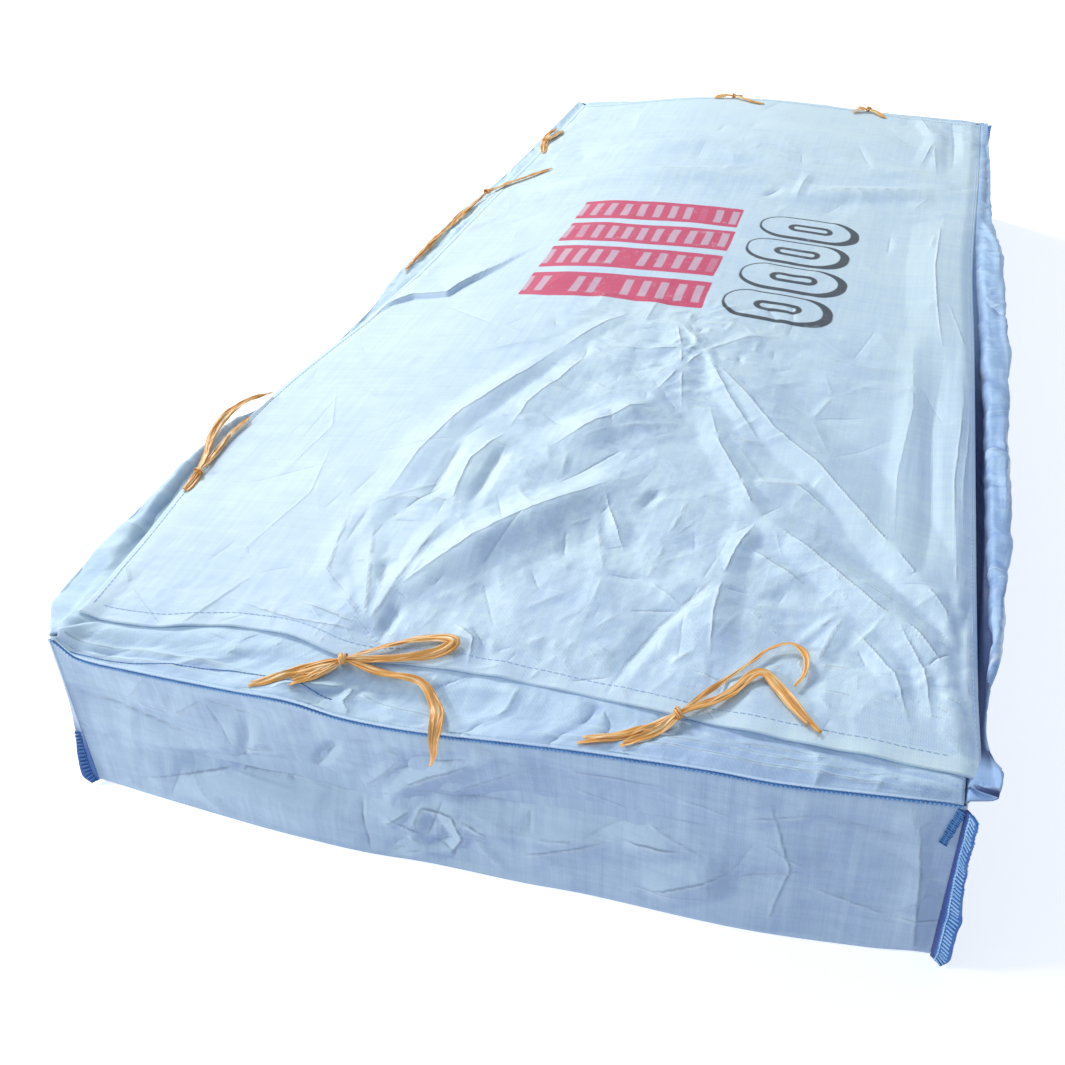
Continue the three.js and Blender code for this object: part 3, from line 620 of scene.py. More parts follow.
FRONT = Side(
    "front",
    FRONT_LEFT,
    FRONT_RIGHT,
    (
        (0.0, 0, 0, 0, 288, 0), (0.03, 3, 2, 2, 262, 3), (0.1, 11, 6, 8, 262, 9),
        (0.235, 24, 10, 22, 275, 24), (0.31, 28, 8, 26, 280, 28), (0.37, 29, 10, 24, 265, 27),
        (0.45, 24, 14, 22, 263, 25), (0.56, 24, 18, 20, 274, 23), (0.63, 21, 19, 20, 282, 23),
        (0.76, 24, 22, 23, 294, 26), (0.83, 22, 18, 21, 292, 24), (0.94, 10, 8, 10, 294, 12),
        (1.0, 0, 0, 0, 290, 0),
    ),
    folds=(
        (0.05, 0.34, 0.38, 0.46, 34, -9), (0.1, 0.2, 0.42, 0.22, 50, 7), (0.97, 0.05, 0.955, 0.85, 26, -8),
        (0.45, 0.62, 0.55, 0.3, 30, 5),
    ),
    creases=crease_table(
        (((88, 34), (263, 97), (385, 104), (430, 99), (486, 112)), 56, 30, -9, 0.3, 0.5),
        (((302, 212), (293, 160), (254, 88)), 9, 13, -5, 0.3, 0.8),
        (((293, 158), (344, 162)), 9, 9, -3),
        (((434, 198), (390, 134)), 9, 12, -5, 0.8, 0.8),
        (((490, 110), (574, 178), (648, 222)), 22, 26, 9),
        (((520, 172), (580, 206), (650, 232)), 20, 10, -5),
        (((545, 80), (556, 108), (600, 106), (614, 70), (594, 34), (556, 28), (540, 50)), 10, 12, 5,
         0.9, 0.9),
        (((578, 88), (590, 60), (574, 46)), 9, 9, -4, 0.8, 0.8),
        (((618, 100), (650, 86)), 10, 10, 4, 0.8, 0.5),
        (((530, 96), (500, 70)), 10, 10, 4, 0.8, 0.5),
        (((513, 12), (582, 36)), 14, 18, 4),
        (((500, 140), (624, 142), (760, 168), (980, 196)), 84, 52, -13),
        (((843, 130), (922, 138)), 26, 26, 5),
        (((876, 43), (983, 110)), 44, 36, 6.5),
        (((20, 190), (110, 176), (210, 150)), 44, 38, -6, 0.3, 0.3),
        (((1204, 245), (1216, 155), (1227, 10)), 7, 30, 4.0, 0.4, 1.0),
        (((700, 60), (820, 118)), 40, 40, 4.5),
        (((1030, 250), (1060, 140), (1040, 40)), 50, 60, 4.0, 0.3, 0.5),
    ),
    crush=0.75,
    crushed=((260, 200, 0.5), (600, 130, 0.9)),
)
RIGHT = Side(
    "right",
    FRONT_RIGHT,
    BACK_RIGHT,
    (
        (0.0, 0, 0, 0, 290, 24), (0.02, 1, 3, 2, 288, 38), (0.08, 5, 13, 8, 280, 35),
        (0.175, 11, 24, 14, 274, 50), (0.236, 13, 28, 16, 273, 54), (0.294, 14, 25, 13, 270, 45),
        (0.36, 12, 27, 15, 272, 52), (0.51, 9, 24, 14, 275, 46), (0.624, 11, 19, 12, 274, 38),
        (0.712, 8, 12, 8, 272, 22), (0.85, 6, 9, 6, 275, 17), (1.0, 0, 0, 0, 279, 8),
    ),
    folds=((0.27, 0.95, 0.33, 0.3, 45, -12), (0.6, 0.9, 0.68, 0.25, 50, -10)),
    crush=1.3,
)
BACK = Side(
    "back",
    BACK_RIGHT,
    BACK_LEFT,
    (
        (0.0, 0, 0, 0, 279, 0), (0.2, 12, 16, 12, 283, 14), (0.42, 19, 24, 18, 292, 21),
        (0.6, 16, 22, 19, 298, 22), (0.82, 13, 14, 11, 289, 13), (1.0, 0, 0, 0, 284, 0),
    ),
    folds=((0.3, 0.3, 0.62, 0.55, 40, -9),),
    crush=1.4,
)
LEFT = Side(
    "left",
    BACK_LEFT,
    FRONT_LEFT,
    (
        (0.0, 0, 0, 0, 284, 6), (0.14, 7, 9, 5, 278, 12), (0.25, 10, 14, 7, 274, 20),
        (0.32, 12, 19, 11, 270, 36), (0.42, 9, 22, 12, 272, 42), (0.51, 11, 20, 10, 273, 38),
        (0.58, 8, 14, 5, 273, 20), (0.65, 10, 17, 7, 272, 22), (0.73, 14, 26, 14, 268, 44),
        (0.78, 15, 28, 15, 267, 63), (0.83, 14, 26, 14, 266, 63), (0.93, 7, 15, 8, 264, 50),
        (0.98, 2, 5, 3, 266, 46), (1.0, 0, 0, 0, 288, 20),
    ),
    folds=((0.52, 0.9, 0.6, 0.3, 50, -11), (0.2, 0.4, 0.4, 0.6, 45, -8)),
    crush=1.3,
)
SIDES = (FRONT, RIGHT, BACK, LEFT)


def inset(loop: Array, distance: float, height: float | None = None) -> Array:
    """Move a loop inwards in plan.

    Args:
        loop: Points of a closed loop, walking with the inside on the left hand.
        distance: How far each stretch moves in.
        height: Height of the new loop, or None to keep each point's.

    Returns:
        The moved loop.
    """
    before, after = np.roll(loop, 1, 0), np.roll(loop, -1, 0)

    def inward(a: Array, b: Array) -> Array:
        """Return the unit normals of stretches from a to b."""
        return unit(np.stack([a[:, 1] - b[:, 1], b[:, 0] - a[:, 0]], -1))

    n1 = inward(loop, after)
    n = unit(inward(before, loop) + n1)
    reach = distance / np.maximum((n * n1).sum(-1), 0.5)
    moved = loop.copy()
    moved[:, :2] += n * reach[:, None]
    if height is not None:
        moved[:, 2] = height
    return moved


# Shader maths and finishes


def maths(operation: str) -> Callable[..., "Sock"]:
    """Return a method of Sock that makes a Math node.

    Args:
        operation: What the node does with the socket and the method's other values.

    Returns:
        The method, which returns the node's output.
    """

    def run(sock: "Sock", *others: "Sock | float") -> "Sock":
        """Return the operation's result."""
        return sock.paint.node("Math", {"operation": operation}, sock, *others)

    return run


class Sock:
    """A shader socket that Python's arithmetic works on."""

    __add__ = __radd__ = maths("ADD")
    __sub__ = maths("SUBTRACT")
    __mul__ = __rmul__ = maths("MULTIPLY")
    __truediv__ = maths("DIVIDE")
    __pow__ = maths("POWER")
    absolute = maths("ABSOLUTE")
    floor = maths("FLOOR")
    fraction = maths("FRACT")
    least = maths("MINIMUM")
    most = maths("MAXIMUM")

    def __init__(self, paint: "Paint", socket: bpy.types.NodeSocket) -> None:
        """Wrap an output socket of a paint's tree."""
        self.paint, self.socket = paint, socket

    def __rsub__(self, other: float) -> "Sock":
        """Return other less this."""
        return self.paint.node("Math", {"operation": "SUBTRACT"}, other, self)

    def clip(self) -> "Sock":
        """Return the value cut to 0..1."""
        return self.most(0.0).least(1.0)

    def step(self, low: float, high: float) -> "Sock":
        """Return 0 at low and 1 at high, with a smooth turn between, also where low is the higher.

        Args:
            low: Value at which the step is 0.
            high: Value at which it is 1.

        Returns:
            The step, as a socket.
        """
        settings = {"interpolation_type": "SMOOTHSTEP"}
        if low > high:
            return 1 - self.paint.node("MapRange", settings, self, high, low, 0.0, 1.0)
        return self.paint.node("MapRange", settings, self, low, high, 0.0, 1.0)


class Paint:
    """One procedural material, built node by node."""

    def __init__(self, name: str) -> None:
        """Start an empty material of a name.

        Args:
            name: Name of the material.
        """
        self.material = bpy.data.materials.new(name)
        self.material.use_nodes = True
        self.tree = self.material.node_tree
        self.tree.nodes.clear()
        self.shader = self.tree.nodes.new("ShaderNodeBsdfPrincipled")
        output = self.tree.nodes.new("ShaderNodeOutputMaterial")
        self.tree.links.new(self.shader.outputs["BSDF"], output.inputs["Surface"])

    def node(
        self, kind: str, settings: dict[str, object], *values: object, out: str | int = 0, **named: object
    ) -> Sock:
        """Add a node.

        Args:
            kind: The node's type, without ShaderNode.
            settings: Its properties, set first.
            *values: Values or links of its inputs, in order; None leaves one alone.
            out: Name or number of the output wanted.
            **named: Values or links of inputs by name, with underscores for spaces.

        Returns:
            The wanted output.
        """
        made = self.tree.nodes.new("ShaderNode" + kind)
        for key, value in settings.items():
            setattr(made, key, value)
        inputs = [s for s in made.inputs if s.enabled]
        pairs = [(inputs[i], v) for i, v in enumerate(values) if v is not None]
        pairs += [(next(s for s in inputs if s.name == k.replace("_", " ")), v) for k, v in named.items()]
        for socket, value in pairs:
            self.feed(socket, value)
        outputs = [s for s in made.outputs if s.enabled]
        found = outputs[out] if isinstance(out, int) else next(s for s in outputs if s.name == out)
        return Sock(self, found)

    def feed(self, socket: bpy.types.NodeSocket, value: object) -> None:
        """Set or link an input.

        Args:
            socket: The input.
            value: A Sock to link, or a value to set.
        """
        if isinstance(value, Sock):
            self.tree.links.new(value.socket, socket)
        elif socket.type == "RGBA" and len(value) == 3:
            socket.default_value = (*value, 1.0)
        else:
            socket.default_value = value

    def split(self, vector: Sock) -> tuple[Sock, Sock, Sock]:
        """Return a vector's three numbers."""
        made = self.node("SeparateXYZ", {}, vector).socket.node
        return tuple(Sock(self, output) for output in made.outputs)

    def join(self, x: object, y: object, z: object = 0.0) -> Sock:
        """Return the vector of three numbers."""
        return self.node("CombineXYZ", {}, x, y, z)

    def cloth_place(self) -> tuple[Sock, Sock]:
        """Return the place along the cloth's two threads, in metres."""
        u, v, _ = self.split(self.node("UVMap", {"uv_map": "cloth"}))
        return u, v

    def object_place(self) -> Sock:
        """Return the place in the bag's own frame, in metres."""
        return self.node("TexCoord", {}, out="Object")

    def mark(self, name: str) -> Sock:
        """Return a number kept at the mesh's vertices."""
        return self.node("Attribute", {"attribute_name": name}, out="Fac")

    def noise(self, place: Sock, scale: float, detail: float = 3.0, rough: float = 0.5) -> Sock:
        """Return smooth noise about 0.5, with scale grains a metre and detail finer layers."""
        return self.node("TexNoise", {}, Vector=place, Scale=scale, Detail=detail, Roughness=rough)

    def stray(self, place: Sock, scale: float, detail: float, reach: tuple[float, float, float]) -> Sock:
        """Return a place moved at random by up to reach, with scale bends a metre and detail finer ones."""
        bend = self.node("TexNoise", {}, Vector=place, Scale=scale, Detail=detail, out="Color")
        return self.node("VectorMath", {"operation": "MULTIPLY_ADD"}, bend, reach, place)

    def mix(self, share: object, first: object, second: object) -> Sock:
        """Return a mix of two colours, with a share of the second."""
        return self.node("Mix", {"data_type": "RGBA", "clamp_factor": True}, share, first, second)

    def bump(self, height: Sock, depth: float, strength: float = 1.0, under: Sock | None = None) -> Sock:
        """Return a normal, or a given one under it, bumped by a height of which 1 is depth metres."""
        named = {"Normal": under} if under else {}
        return self.node("Bump", {}, Strength=strength, Distance=depth, Height=height, **named)

    def finish(self, **sockets: object) -> Material:
        """Feed the shader's sockets and return the material.

        Args:
            **sockets: Values or links, by socket name with underscores for spaces.

        Returns:
            The finished material.
        """
        for name, value in sockets.items():
            self.feed(self.shader.inputs[name.replace("_", " ")], value)
        return self.material


Colour = tuple[float, float, float]


@dataclass(frozen=True)
class WovenCloth:
    """Coated cloth woven of flat tapes, crushed by handling."""

    name: str
    light: Colour  # Colour of the cloth where it is palest and has the least painted shade
    deep: Colour  # Colour of its darker tapes and blotches, and of the shade painted in its creases, on slopes turned from the lamp, to the right and towards the near end
    pitch: float = 0.0032  # Width of a tape, in metres
    streak: float = 0.35  # How much neighbouring tapes differ
    pen: float = 1.0  # Width of the creases' lines, against the lid's
    crush: float = 0.0022  # Depth of the fine crumple, in metres
    roughness: float = 0.58  # Middle roughness of the coating
    shift: float = 0.3  # How much deeper the colour gets a metre to the right: painted shade, away from the lamp on the left
    glint: float = 0.6  # How strongly the painted highlight on the lit side of a crease's line is drawn
    shadow_line_and_ridge: float = 0.62  # How strongly the painted shadow on its dark side is drawn, and how deep its ridge bumps
    gloom: Colour = (0.035, 0.07, 0.27)  # Colour of the shade painted deep in a cleft
    wrinkle: float = 0.003  # Depth of the fine crosswise wrinkles, in metres

    # Offset and half width of a crease line's painted highlight and painted shadow, and half its ridge's
    # width
    LIT, DARK, RIDGE = (1.5, 2.0), (1.2, 1.7), 6.0
    STRAY_LINE = 4.0  # Width of the band in which a line strays, in millimetres
    FOLD, AWAY, START = 0.52, 0.17, 0.24  # How strongly the fold mark paints light and shade, how much painted light pales the colour a metre away from the near end, and how deep it starts
    WEAVE = 0.00022  # Depth of the weave, in metres

    def weave(self, u: Sock, v: Sock) -> Sock:
        """Return the weave's height: tapes over and under each other.

        Args:
            u, v: Places along the cloth's two threads.

        Returns:
            The height, 0 to 1.
        """
        a, b = u * (1 / self.pitch), v * (1 / self.pitch)
        over = ((a.floor() + b.floor()) * 0.5).fraction().step(0.2, 0.3)
        across = 1 - (a.fraction() * 2 - 1) ** 2
        along = 1 - (b.fraction() * 2 - 1) ** 2
        return over * across + (1 - over) * along

    def tapes(self, paint: Paint, u: Sock, v: Sock) -> Sock:
        """Return how single tapes differ in tone along their own run.

        Args:
            paint: The material.
            u, v: Places along the cloth's two threads.

        Returns:
            The tone, about 0.5.
        """
        long_way = paint.noise(paint.join(u * (0.28 / self.pitch), v * 3.0), 1.0, 3.0, 0.75)
        cross_way = paint.noise(paint.join(u * 3.0, v * (0.28 / self.pitch), 7.0), 1.0, 3.0, 0.75)
        return long_way * 0.6 + cross_way * 0.4

    def crumple(self, paint: Paint, u: Sock, v: Sock) -> Sock:
        """Return the fine crumple's height: small flat facets with sharp edges.

        Args:
            paint: The material.
            u, v: Places along the cloth's two threads.

        Returns:
            The height, about 0 to 1.
        """
        place = paint.stray(paint.join(u, v), 9.0, 2.0, (0.05, 0.05, 0.05))
        # The sharp-edged diamonds of the street-block distance stand for facets
        cells = {"feature": "F1", "voronoi_dimensions": "2D", "distance": "MANHATTAN"}
        large = paint.node("TexVoronoi", cells, Vector=place, Scale=17.0, out="Distance")
        turned = paint.node("VectorRotate", {"rotation_type": "Z_AXIS"}, Vector=place, Angle=0.6)
        small = paint.node("TexVoronoi", cells, Vector=turned, Scale=46.0, out="Distance")
        return large * 0.7 + small * 0.3

    def crease_light_and_ridge(self, paint: Paint, name: str, wander: Sock) -> tuple[Sock, Sock, Sock]:
        """Return the painted highlight and painted shadow that a set of creases draws along its lines, and
        its ridge.

        Args:
            paint: The material.
            name: Ending of the names of the set's marks.
            wander: How far the lines stray, in millimetres.

        Returns:
            Shares of their painted highlight and of their painted shadow, and their ridge's height.
        """
        sharp = paint.mark("sharp" + name)
        off = paint.mark("line" + name) + wander
        keen = sharp.absolute()
        lit = (1 - (off + self.LIT[0] * self.pen).absolute() / (self.LIT[1] * self.pen)).most(0.0) * keen
        dark = (1 - (off - self.DARK[0] * self.pen).absolute() / (self.DARK[1] * self.pen)).most(0.0) * keen
        return lit, dark, (1 - off.absolute() / self.RIDGE).most(0.0) * sharp

    def base(self, paint: Paint) -> tuple[Sock, Sock, Sock]:
        """Return the bare cloth's colour, with its painted light and shade, and its roughness and normal.

        Args:
            paint: The material.

        Returns:
            Colour, roughness and normal.
        """
        u, v = paint.cloth_place()
        tone = self.tapes(paint, u, v)
        # The fold mark is painted light and shade: above 0 it pales the colour on crests and slopes facing
        # the far left, below 0 it deepens it in valleys and on slopes turned away
        fold = paint.mark("fold")
        crush = paint.mark("crush")
        place = paint.object_place()
        cloud = paint.noise(place, 2.2, 3.0)
        wander = (paint.noise(place, 60.0, 2.0) - 0.5) * self.STRAY_LINE
        lit, dark, tent = self.crease_light_and_ridge(paint, "", wander)
        lit_too, dark_too, tent_too = self.crease_light_and_ridge(paint, "_fine", wander)
        lit, dark, tent = lit.most(lit_too), dark.most(dark_too), tent + tent_too
        x, y, _ = paint.split(place)
        blotch = paint.noise(place, 9.0, 3.0, 0.6)
        clouds = (cloud - 0.5) * 0.6 + (blotch - 0.5) * 0.5
        streaks = (0.5 - tone) * self.streak * 4
        # Painted shade deepens the colour in valleys, on slopes turned from the far left, to the right and
        # towards the near end; the tape streaks and blotches are the cloth's own tone
        deep = streaks + clouds - fold * self.FOLD + x * self.shift - y * self.AWAY + self.START
        colour = paint.mix(deep.clip(), self.light, self.deep)
        # Painted highlight on the lit side of each crease line, and painted shadow on its dark side
        colour = paint.mix((lit * self.glint).least(1.0), colour, (0.93, 0.975, 1.0))
        colour = paint.mix((dark * self.shadow_line_and_ridge).least(1.0), colour, tuple(c * 0.55 for c in self.deep))
        # Painted shade deep in clefts, at the fins' roots and feet, and inside the rolls
        colour = paint.mix(paint.mark("gloom").clip(), colour, self.gloom)
        fine = paint.bump(self.weave(u, v), self.WEAVE, 0.6)
        wrinkles = paint.noise(paint.join(u * 5.0, v * 34.0, blotch * 0.6), 1.0, 2.0, 0.5)
        ruffled = paint.bump(wrinkles * (cloud * 3 - 1).clip(), self.wrinkle, 1.0, fine)
        folded = paint.bump(tent, 0.0026 * self.shadow_line_and_ridge, 1.0, ruffled)
        normal = paint.bump(self.crumple(paint, u, v) * crush, self.crush, 1.0, folded)
        rough = paint.noise(place, 30.0, 2.0) * 0.22 + (self.roughness - 0.11)
        return colour, rough, normal

    def coat(self, paint: Paint, colour: Sock, rough: Sock, normal: Sock) -> Material:
        """Return the finished material, with the coating's soft sheen."""
        coating = {"IOR": 1.48, "Sheen_Weight": 0.15, "Sheen_Roughness": 0.4}
        return paint.finish(Base_Color=colour, Roughness=rough, Normal=normal, **coating)

    def build(self) -> Material:
        """Return the finished material."""
        paint = Paint(self.name)
        return self.coat(paint, *self.base(paint))


@dataclass(frozen=True)
class PrintedCloth(WovenCloth):
    """The lid's cloth with plain printed warning colours: red strips with pale bars, and dark open rings."""

    ink: Colour = (0.72, 0.035, 0.13)  # Colour of the strips
    line: Colour = (0.035, 0.04, 0.055)  # Colour of the rings' outline
    # Middle, and half size, of each red strip
    strips: tuple[tuple[float, float, float, float], ...] = (
        (-0.125, 0.330, 0.195, 0.056), (-0.122, 0.190, 0.196, 0.056), (-0.124, 0.050, 0.195, 0.056),
        (-0.120, -0.095, 0.196, 0.058),
    )
    # Middle, and half size, of each ring
    rings: tuple[tuple[float, float, float, float], ...] = (
        (0.225, 0.325, 0.105, 0.058), (0.215, 0.185, 0.105, 0.058), (0.225, 0.045, 0.105, 0.058),
        (0.215, -0.100, 0.105, 0.060),
    )

    STRAY = 0.018  # How far the printed edges stray, in metres
    BARS = 27.0  # Pale bars a metre
    SOFT = 0.0015  # Half the softness of a strip's edge, in metres
    RING_SOFT = 0.0018  # The same of a ring's
    SHADE = 0.008  # How far a ring's outline is shifted right and widened, in metres

    @staticmethod
    def box(x: Sock, y: Sock, spot: tuple[float, float, float, float], bend: float) -> Sock:
        """Return the distance outside a box with round corners.

        Args:
            x, y: The place.
            spot: The box's middle and half size.
            bend: Its corners' radius.

        Returns:
            The distance, below 0 inside.
        """
        cx, cy, hx, hy = spot
        qx = (x - cx).absolute() - (hx - bend)
        qy = (y - cy).absolute() - (hy - bend)
        px, py = qx.most(0.0), qy.most(0.0)
        return (px * px + py * py) ** 0.5 + qx.most(qy).least(0.0) - bend

    def build(self) -> Material:
        """Build the material.

        Returns:
            The finished material.
        """
        paint = Paint(self.name)
        colour, rough, normal = self.base(paint)
        place = paint.object_place()
        x, y, _ = paint.split(paint.stray(place, 6.0, 1.0, (self.STRAY, self.STRAY, 0.0)))
        x, y = x - self.STRAY / 2, y - self.STRAY / 2
        red, dark = 0.0, 0.0
        for spot in self.strips:
            mask = self.box(x, y, spot, 0.004).step(self.SOFT, -self.SOFT)
            bars = ((x * self.BARS).fraction() - 0.5).absolute().step(0.20, 0.27)
            long = paint.noise(paint.join((x * self.BARS).floor(), spot[1] * 40.0), 0.9, 1.0)
            rows = (y - spot[1]).absolute().step(0.040, 0.034) * long.step(0.36, 0.42)
            red = mask * (1 - rows * (1 - bars) * 0.5) + red
        for spot in self.rings:
            cx, cy, hx, hy = spot
            away = self.box(x, y, spot, hy * 0.96)
            shadow = self.box(x, y, (cx + self.SHADE, cy - 0.005, hx + self.SHADE, hy + 0.006), hy)
            rim = shadow.step(self.RING_SOFT, -self.RING_SOFT) * away.step(-0.006, -0.0025)
            inner = self.box(x, y, (cx + self.SHADE, cy, hx * 0.42, hy * 0.26), hy * 0.25)
            dark = rim.most((inner.absolute() - 0.0065).step(self.RING_SOFT, -self.RING_SOFT)) + dark
        worn = paint.noise(place, 55.0, 4.0, 0.7)
        patches = paint.noise(place, 7.0, 2.0)
        hold = (worn + patches * 0.5 - paint.mark("fold").absolute() * 0.5).step(0.42, 0.66)
        colour = paint.mix((red * (hold * 0.35 + 0.6)).least(1.0), colour, self.ink)
        colour = paint.mix((dark * (hold * 0.2 + 0.75)).least(1.0), colour, self.line)
        return self.coat(paint, colour, rough, normal)


@dataclass(frozen=True)
class Thread:
    """Twisted sewing thread."""

    name: str
    light: Colour
    deep: Colour

    def build(self) -> Material:
        """Build the material.

        Returns:
            The finished material.
        """
        paint = Paint(self.name)
        place = paint.object_place()
        plies = paint.noise(place, 900.0, 2.0, 0.6)
        cloud = paint.noise(place, 24.0, 2.0)
        colour = paint.mix((plies * 0.8 + cloud * 0.5 - 0.15).step(0.25, 0.75), self.deep, self.light)
        return paint.finish(Base_Color=colour, Roughness=0.62, Normal=paint.bump(plies, 0.0004, 0.8))


@dataclass(frozen=True)
class OrangeTape:
    """Thin split plastic tape, streaked along its run."""

    name: str
    light: Colour = (0.98, 0.79, 0.46)  # Colour of its thin, bright stripes
    middle: Colour = (1.0, 0.49, 0.10)
    deep: Colour = (0.76, 0.28, 0.05)  # Colour of its thick or shaded stripes

    def build(self) -> Material:
        """Build the material.

        Returns:
            The finished material.
        """
        paint = Paint(self.name)
        u, v = paint.cloth_place()
        streaks = paint.noise(paint.join(u * 620.0, v * 12.0), 1.0, 3.0, 0.6)
        patches = paint.noise(paint.join(u * 110.0, v * 26.0, 3.0), 1.0, 2.0)
        colour = paint.mix(streaks.step(0.34, 0.62), self.deep, self.middle)
        colour = paint.mix((streaks * 0.6 + patches * 0.5).step(0.5, 0.72), colour, self.light)
        return paint.finish(
            Base_Color=colour, Roughness=patches * 0.2 + 0.28, Normal=paint.bump(streaks, 0.0006, 0.7)
        )


@dataclass(frozen=True)
class PaleFloor:
    """Plain pale floor paint with a faint grain."""

    name: str = "floor_paint"

    def build(self) -> Material:
        """Build the material.

        Returns:
            The finished material.
        """
        paint = Paint(self.name)
        grain = paint.noise(paint.object_place(), 3.0, 4.0)
        colour = paint.mix(grain, (0.93, 0.935, 0.94), (0.96, 0.96, 0.96))
        glow = {"Emission_Color": (1.0, 0.97, 0.93), "Emission_Strength": 0.52}
        return paint.finish(Base_Color=colour, Roughness=0.85, **glow)


# Stitching


@dataclass(frozen=True)
class StitchRow:
    """A row of stitches along paths, made by Geometry Nodes."""

    name: str
    pitch: float  # Distance from one stitch to the next
    start: tuple[float, float, float]  # Where a stitch starts, along the path, across it and off the cloth
    end: tuple[float, float, float]  # Where it ends
    radius: float  # The thread's radius
    rib: float = 0.0  # Radius of a thread that runs along the path, or 0 for none
    seed: int = 1

    UNEVEN = 0.16  # How much single stitches differ in size
    # The tree's inputs and their types
    INPUTS = {
        "Geometry": "Geometry", "Pitch": "Float", "Thread Radius": "Float", "Rib Radius": "Float",
        "Unevenness": "Float", "Stitch Start": "Vector", "Stitch End": "Vector", "Seed": "Int",
        "Thread": "Material",
    }

    def tree(self) -> bpy.types.GeometryNodeTree:
        """Build the node tree, with named inputs for its sizes.

        Returns:
            The finished tree, which a modifier can use.
        """
        group = bpy.data.node_groups.new(self.name + "_stitches", "GeometryNodeTree")
        for label, kind in self.INPUTS.items():
            group.interface.new_socket(label, in_out="INPUT", socket_type="NodeSocket" + kind)
        group.interface.new_socket("Geometry", in_out="OUTPUT", socket_type="NodeSocketGeometry")
        nodes, links = group.nodes, group.links
        given, wanted = nodes.new("NodeGroupInput").outputs, nodes.new("NodeGroupOutput")

        def add(kind: str, settings: dict[str, str], feeds: dict, out: str | int = 0) -> bpy.types.NodeSocket:
            """Add a node and feed it.

            Args:
                kind: Type of the node, without GeometryNode where it is one of those.
                settings: Values for its properties.
                feeds: Sockets to link or values to set, by the name or number of the input.
                out: Name or number of the output wanted.

            Returns:
                That output.
            """
            made = nodes.new(kind if "Node" in kind else "GeometryNode" + kind)
            for key, value in settings.items():
                setattr(made, key, value)
            for key, value in feeds.items():
                if isinstance(value, bpy.types.NodeSocket):
                    links.new(value, made.inputs[key])
                else:
                    made.inputs[key].default_value = value
            return made.outputs[out]

        def thread(along: bpy.types.NodeSocket, size: str, sides: int) -> bpy.types.NodeSocket:
            """Return a round thread along a curve, with a radius by name and a number of sides."""
            ring = add("CurvePrimitiveCircle", {}, {"Resolution": sides, "Radius": given[size]})
            return add("CurveToMesh", {}, {"Curve": along, "Profile Curve": ring, "Fill Caps": True})

        path = add("MeshToCurve", {}, {0: given["Geometry"]})
        spaced = add("ResampleCurve", {"mode": "LENGTH"}, {"Curve": path, "Length": given["Pitch"]})
        named = {"data_type": "FLOAT_VECTOR"}
        facing = add("InputNamedAttribute", named, {"Name": "facing"}, "Attribute")
        axes = {"Primary Axis": add("InputTangent", {}, {}), "Secondary Axis": facing}
        turn = add("FunctionNodeAxesToRotation", {"primary_axis": "X", "secondary_axis": "Z"}, axes)
        whole = (1.0, 1.0, 1.0)
        grow = add("ShaderNodeVectorMath", {"operation": "SCALE"}, {0: whole, "Scale": given["Unevenness"]})
        low = add("ShaderNodeVectorMath", {"operation": "SUBTRACT"}, {0: whole, 1: grow})
        high = add("ShaderNodeVectorMath", {"operation": "ADD"}, {0: whole, 1: grow})
        uneven = add("FunctionNodeRandomValue", named, {0: low, 1: high, "Seed": given["Seed"]})
        ends = {"Start": given["Stitch Start"], "End": given["Stitch End"]}
        bar = add("CurvePrimitiveLine", {"mode": "POINTS"}, ends)
        stitch = thread(bar, "Thread Radius", 6)
        placing = {"Points": spaced, "Instance": stitch, "Rotation": turn, "Scale": uneven}
        gathered = add("JoinGeometry", {}, {0: add("InstanceOnPoints", {}, placing)})
        if self.rib > 0:
            links.new(thread(path, "Rib Radius", 8), gathered.node.inputs[0])
        real = add("RealizeInstances", {}, {"Geometry": gathered})
        coloured = add("SetMaterial", {}, {"Geometry": real, "Material": given["Thread"]})
        links.new(coloured, wanted.inputs[0])
        return group

    def build(self, paths: Sequence[tuple[Array, Array]], material: Material) -> Piece:
        """Sew the row along paths and return it as a plain mesh.

        Args:
            paths: For each path, its points and the way that the cloth faces there.
            material: The thread's finish.

        Returns:
            The stitches' object.
        """
        mesh = bpy.data.meshes.new(self.name + "_path")
        places, edges, count = [], [], 0
        for points, _ in paths:
            places.extend((points * METRES).tolist())
            edges.extend((count + i, count + i + 1) for i in range(len(points) - 1))
            count += len(points)
        mesh.from_pydata(places, edges, [])
        facing = mesh.attributes.new("facing", "FLOAT_VECTOR", "POINT")
        ways = np.concatenate([way for _, way in paths]).astype(np.float32)
        facing.data.foreach_set("vector", ways.ravel())
        carrier = link(self.name + "_path", mesh)
        modifier = carrier.modifiers.new("stitches", "NODES")
        modifier.node_group = self.tree()
        values = {
            "Pitch": self.pitch * METRES,
            "Thread Radius": self.radius * METRES,
            "Rib Radius": self.rib * METRES,
            "Unevenness": self.UNEVEN,
            "Stitch Start": [n * METRES for n in self.start],
            "Stitch End": [n * METRES for n in self.end],
            "Seed": self.seed,
            "Thread": material,
        }
        for item in modifier.node_group.interface.items_tree:
            if item.item_type == "SOCKET" and item.in_out == "INPUT" and item.name in values:
                modifier[item.identifier] = values[item.name]
        bpy.context.view_layer.update()
        graph = bpy.context.evaluated_depsgraph_get()
        plain = bpy.data.meshes.new_from_object(carrier.evaluated_get(graph), depsgraph=graph)
        carrier.modifiers.clear()
        bpy.data.objects.remove(carrier)
        plain.name = self.name
        plain.polygons.foreach_set("use_smooth", np.ones(len(plain.polygons), bool))
        return link(self.name, plain)


# The tray


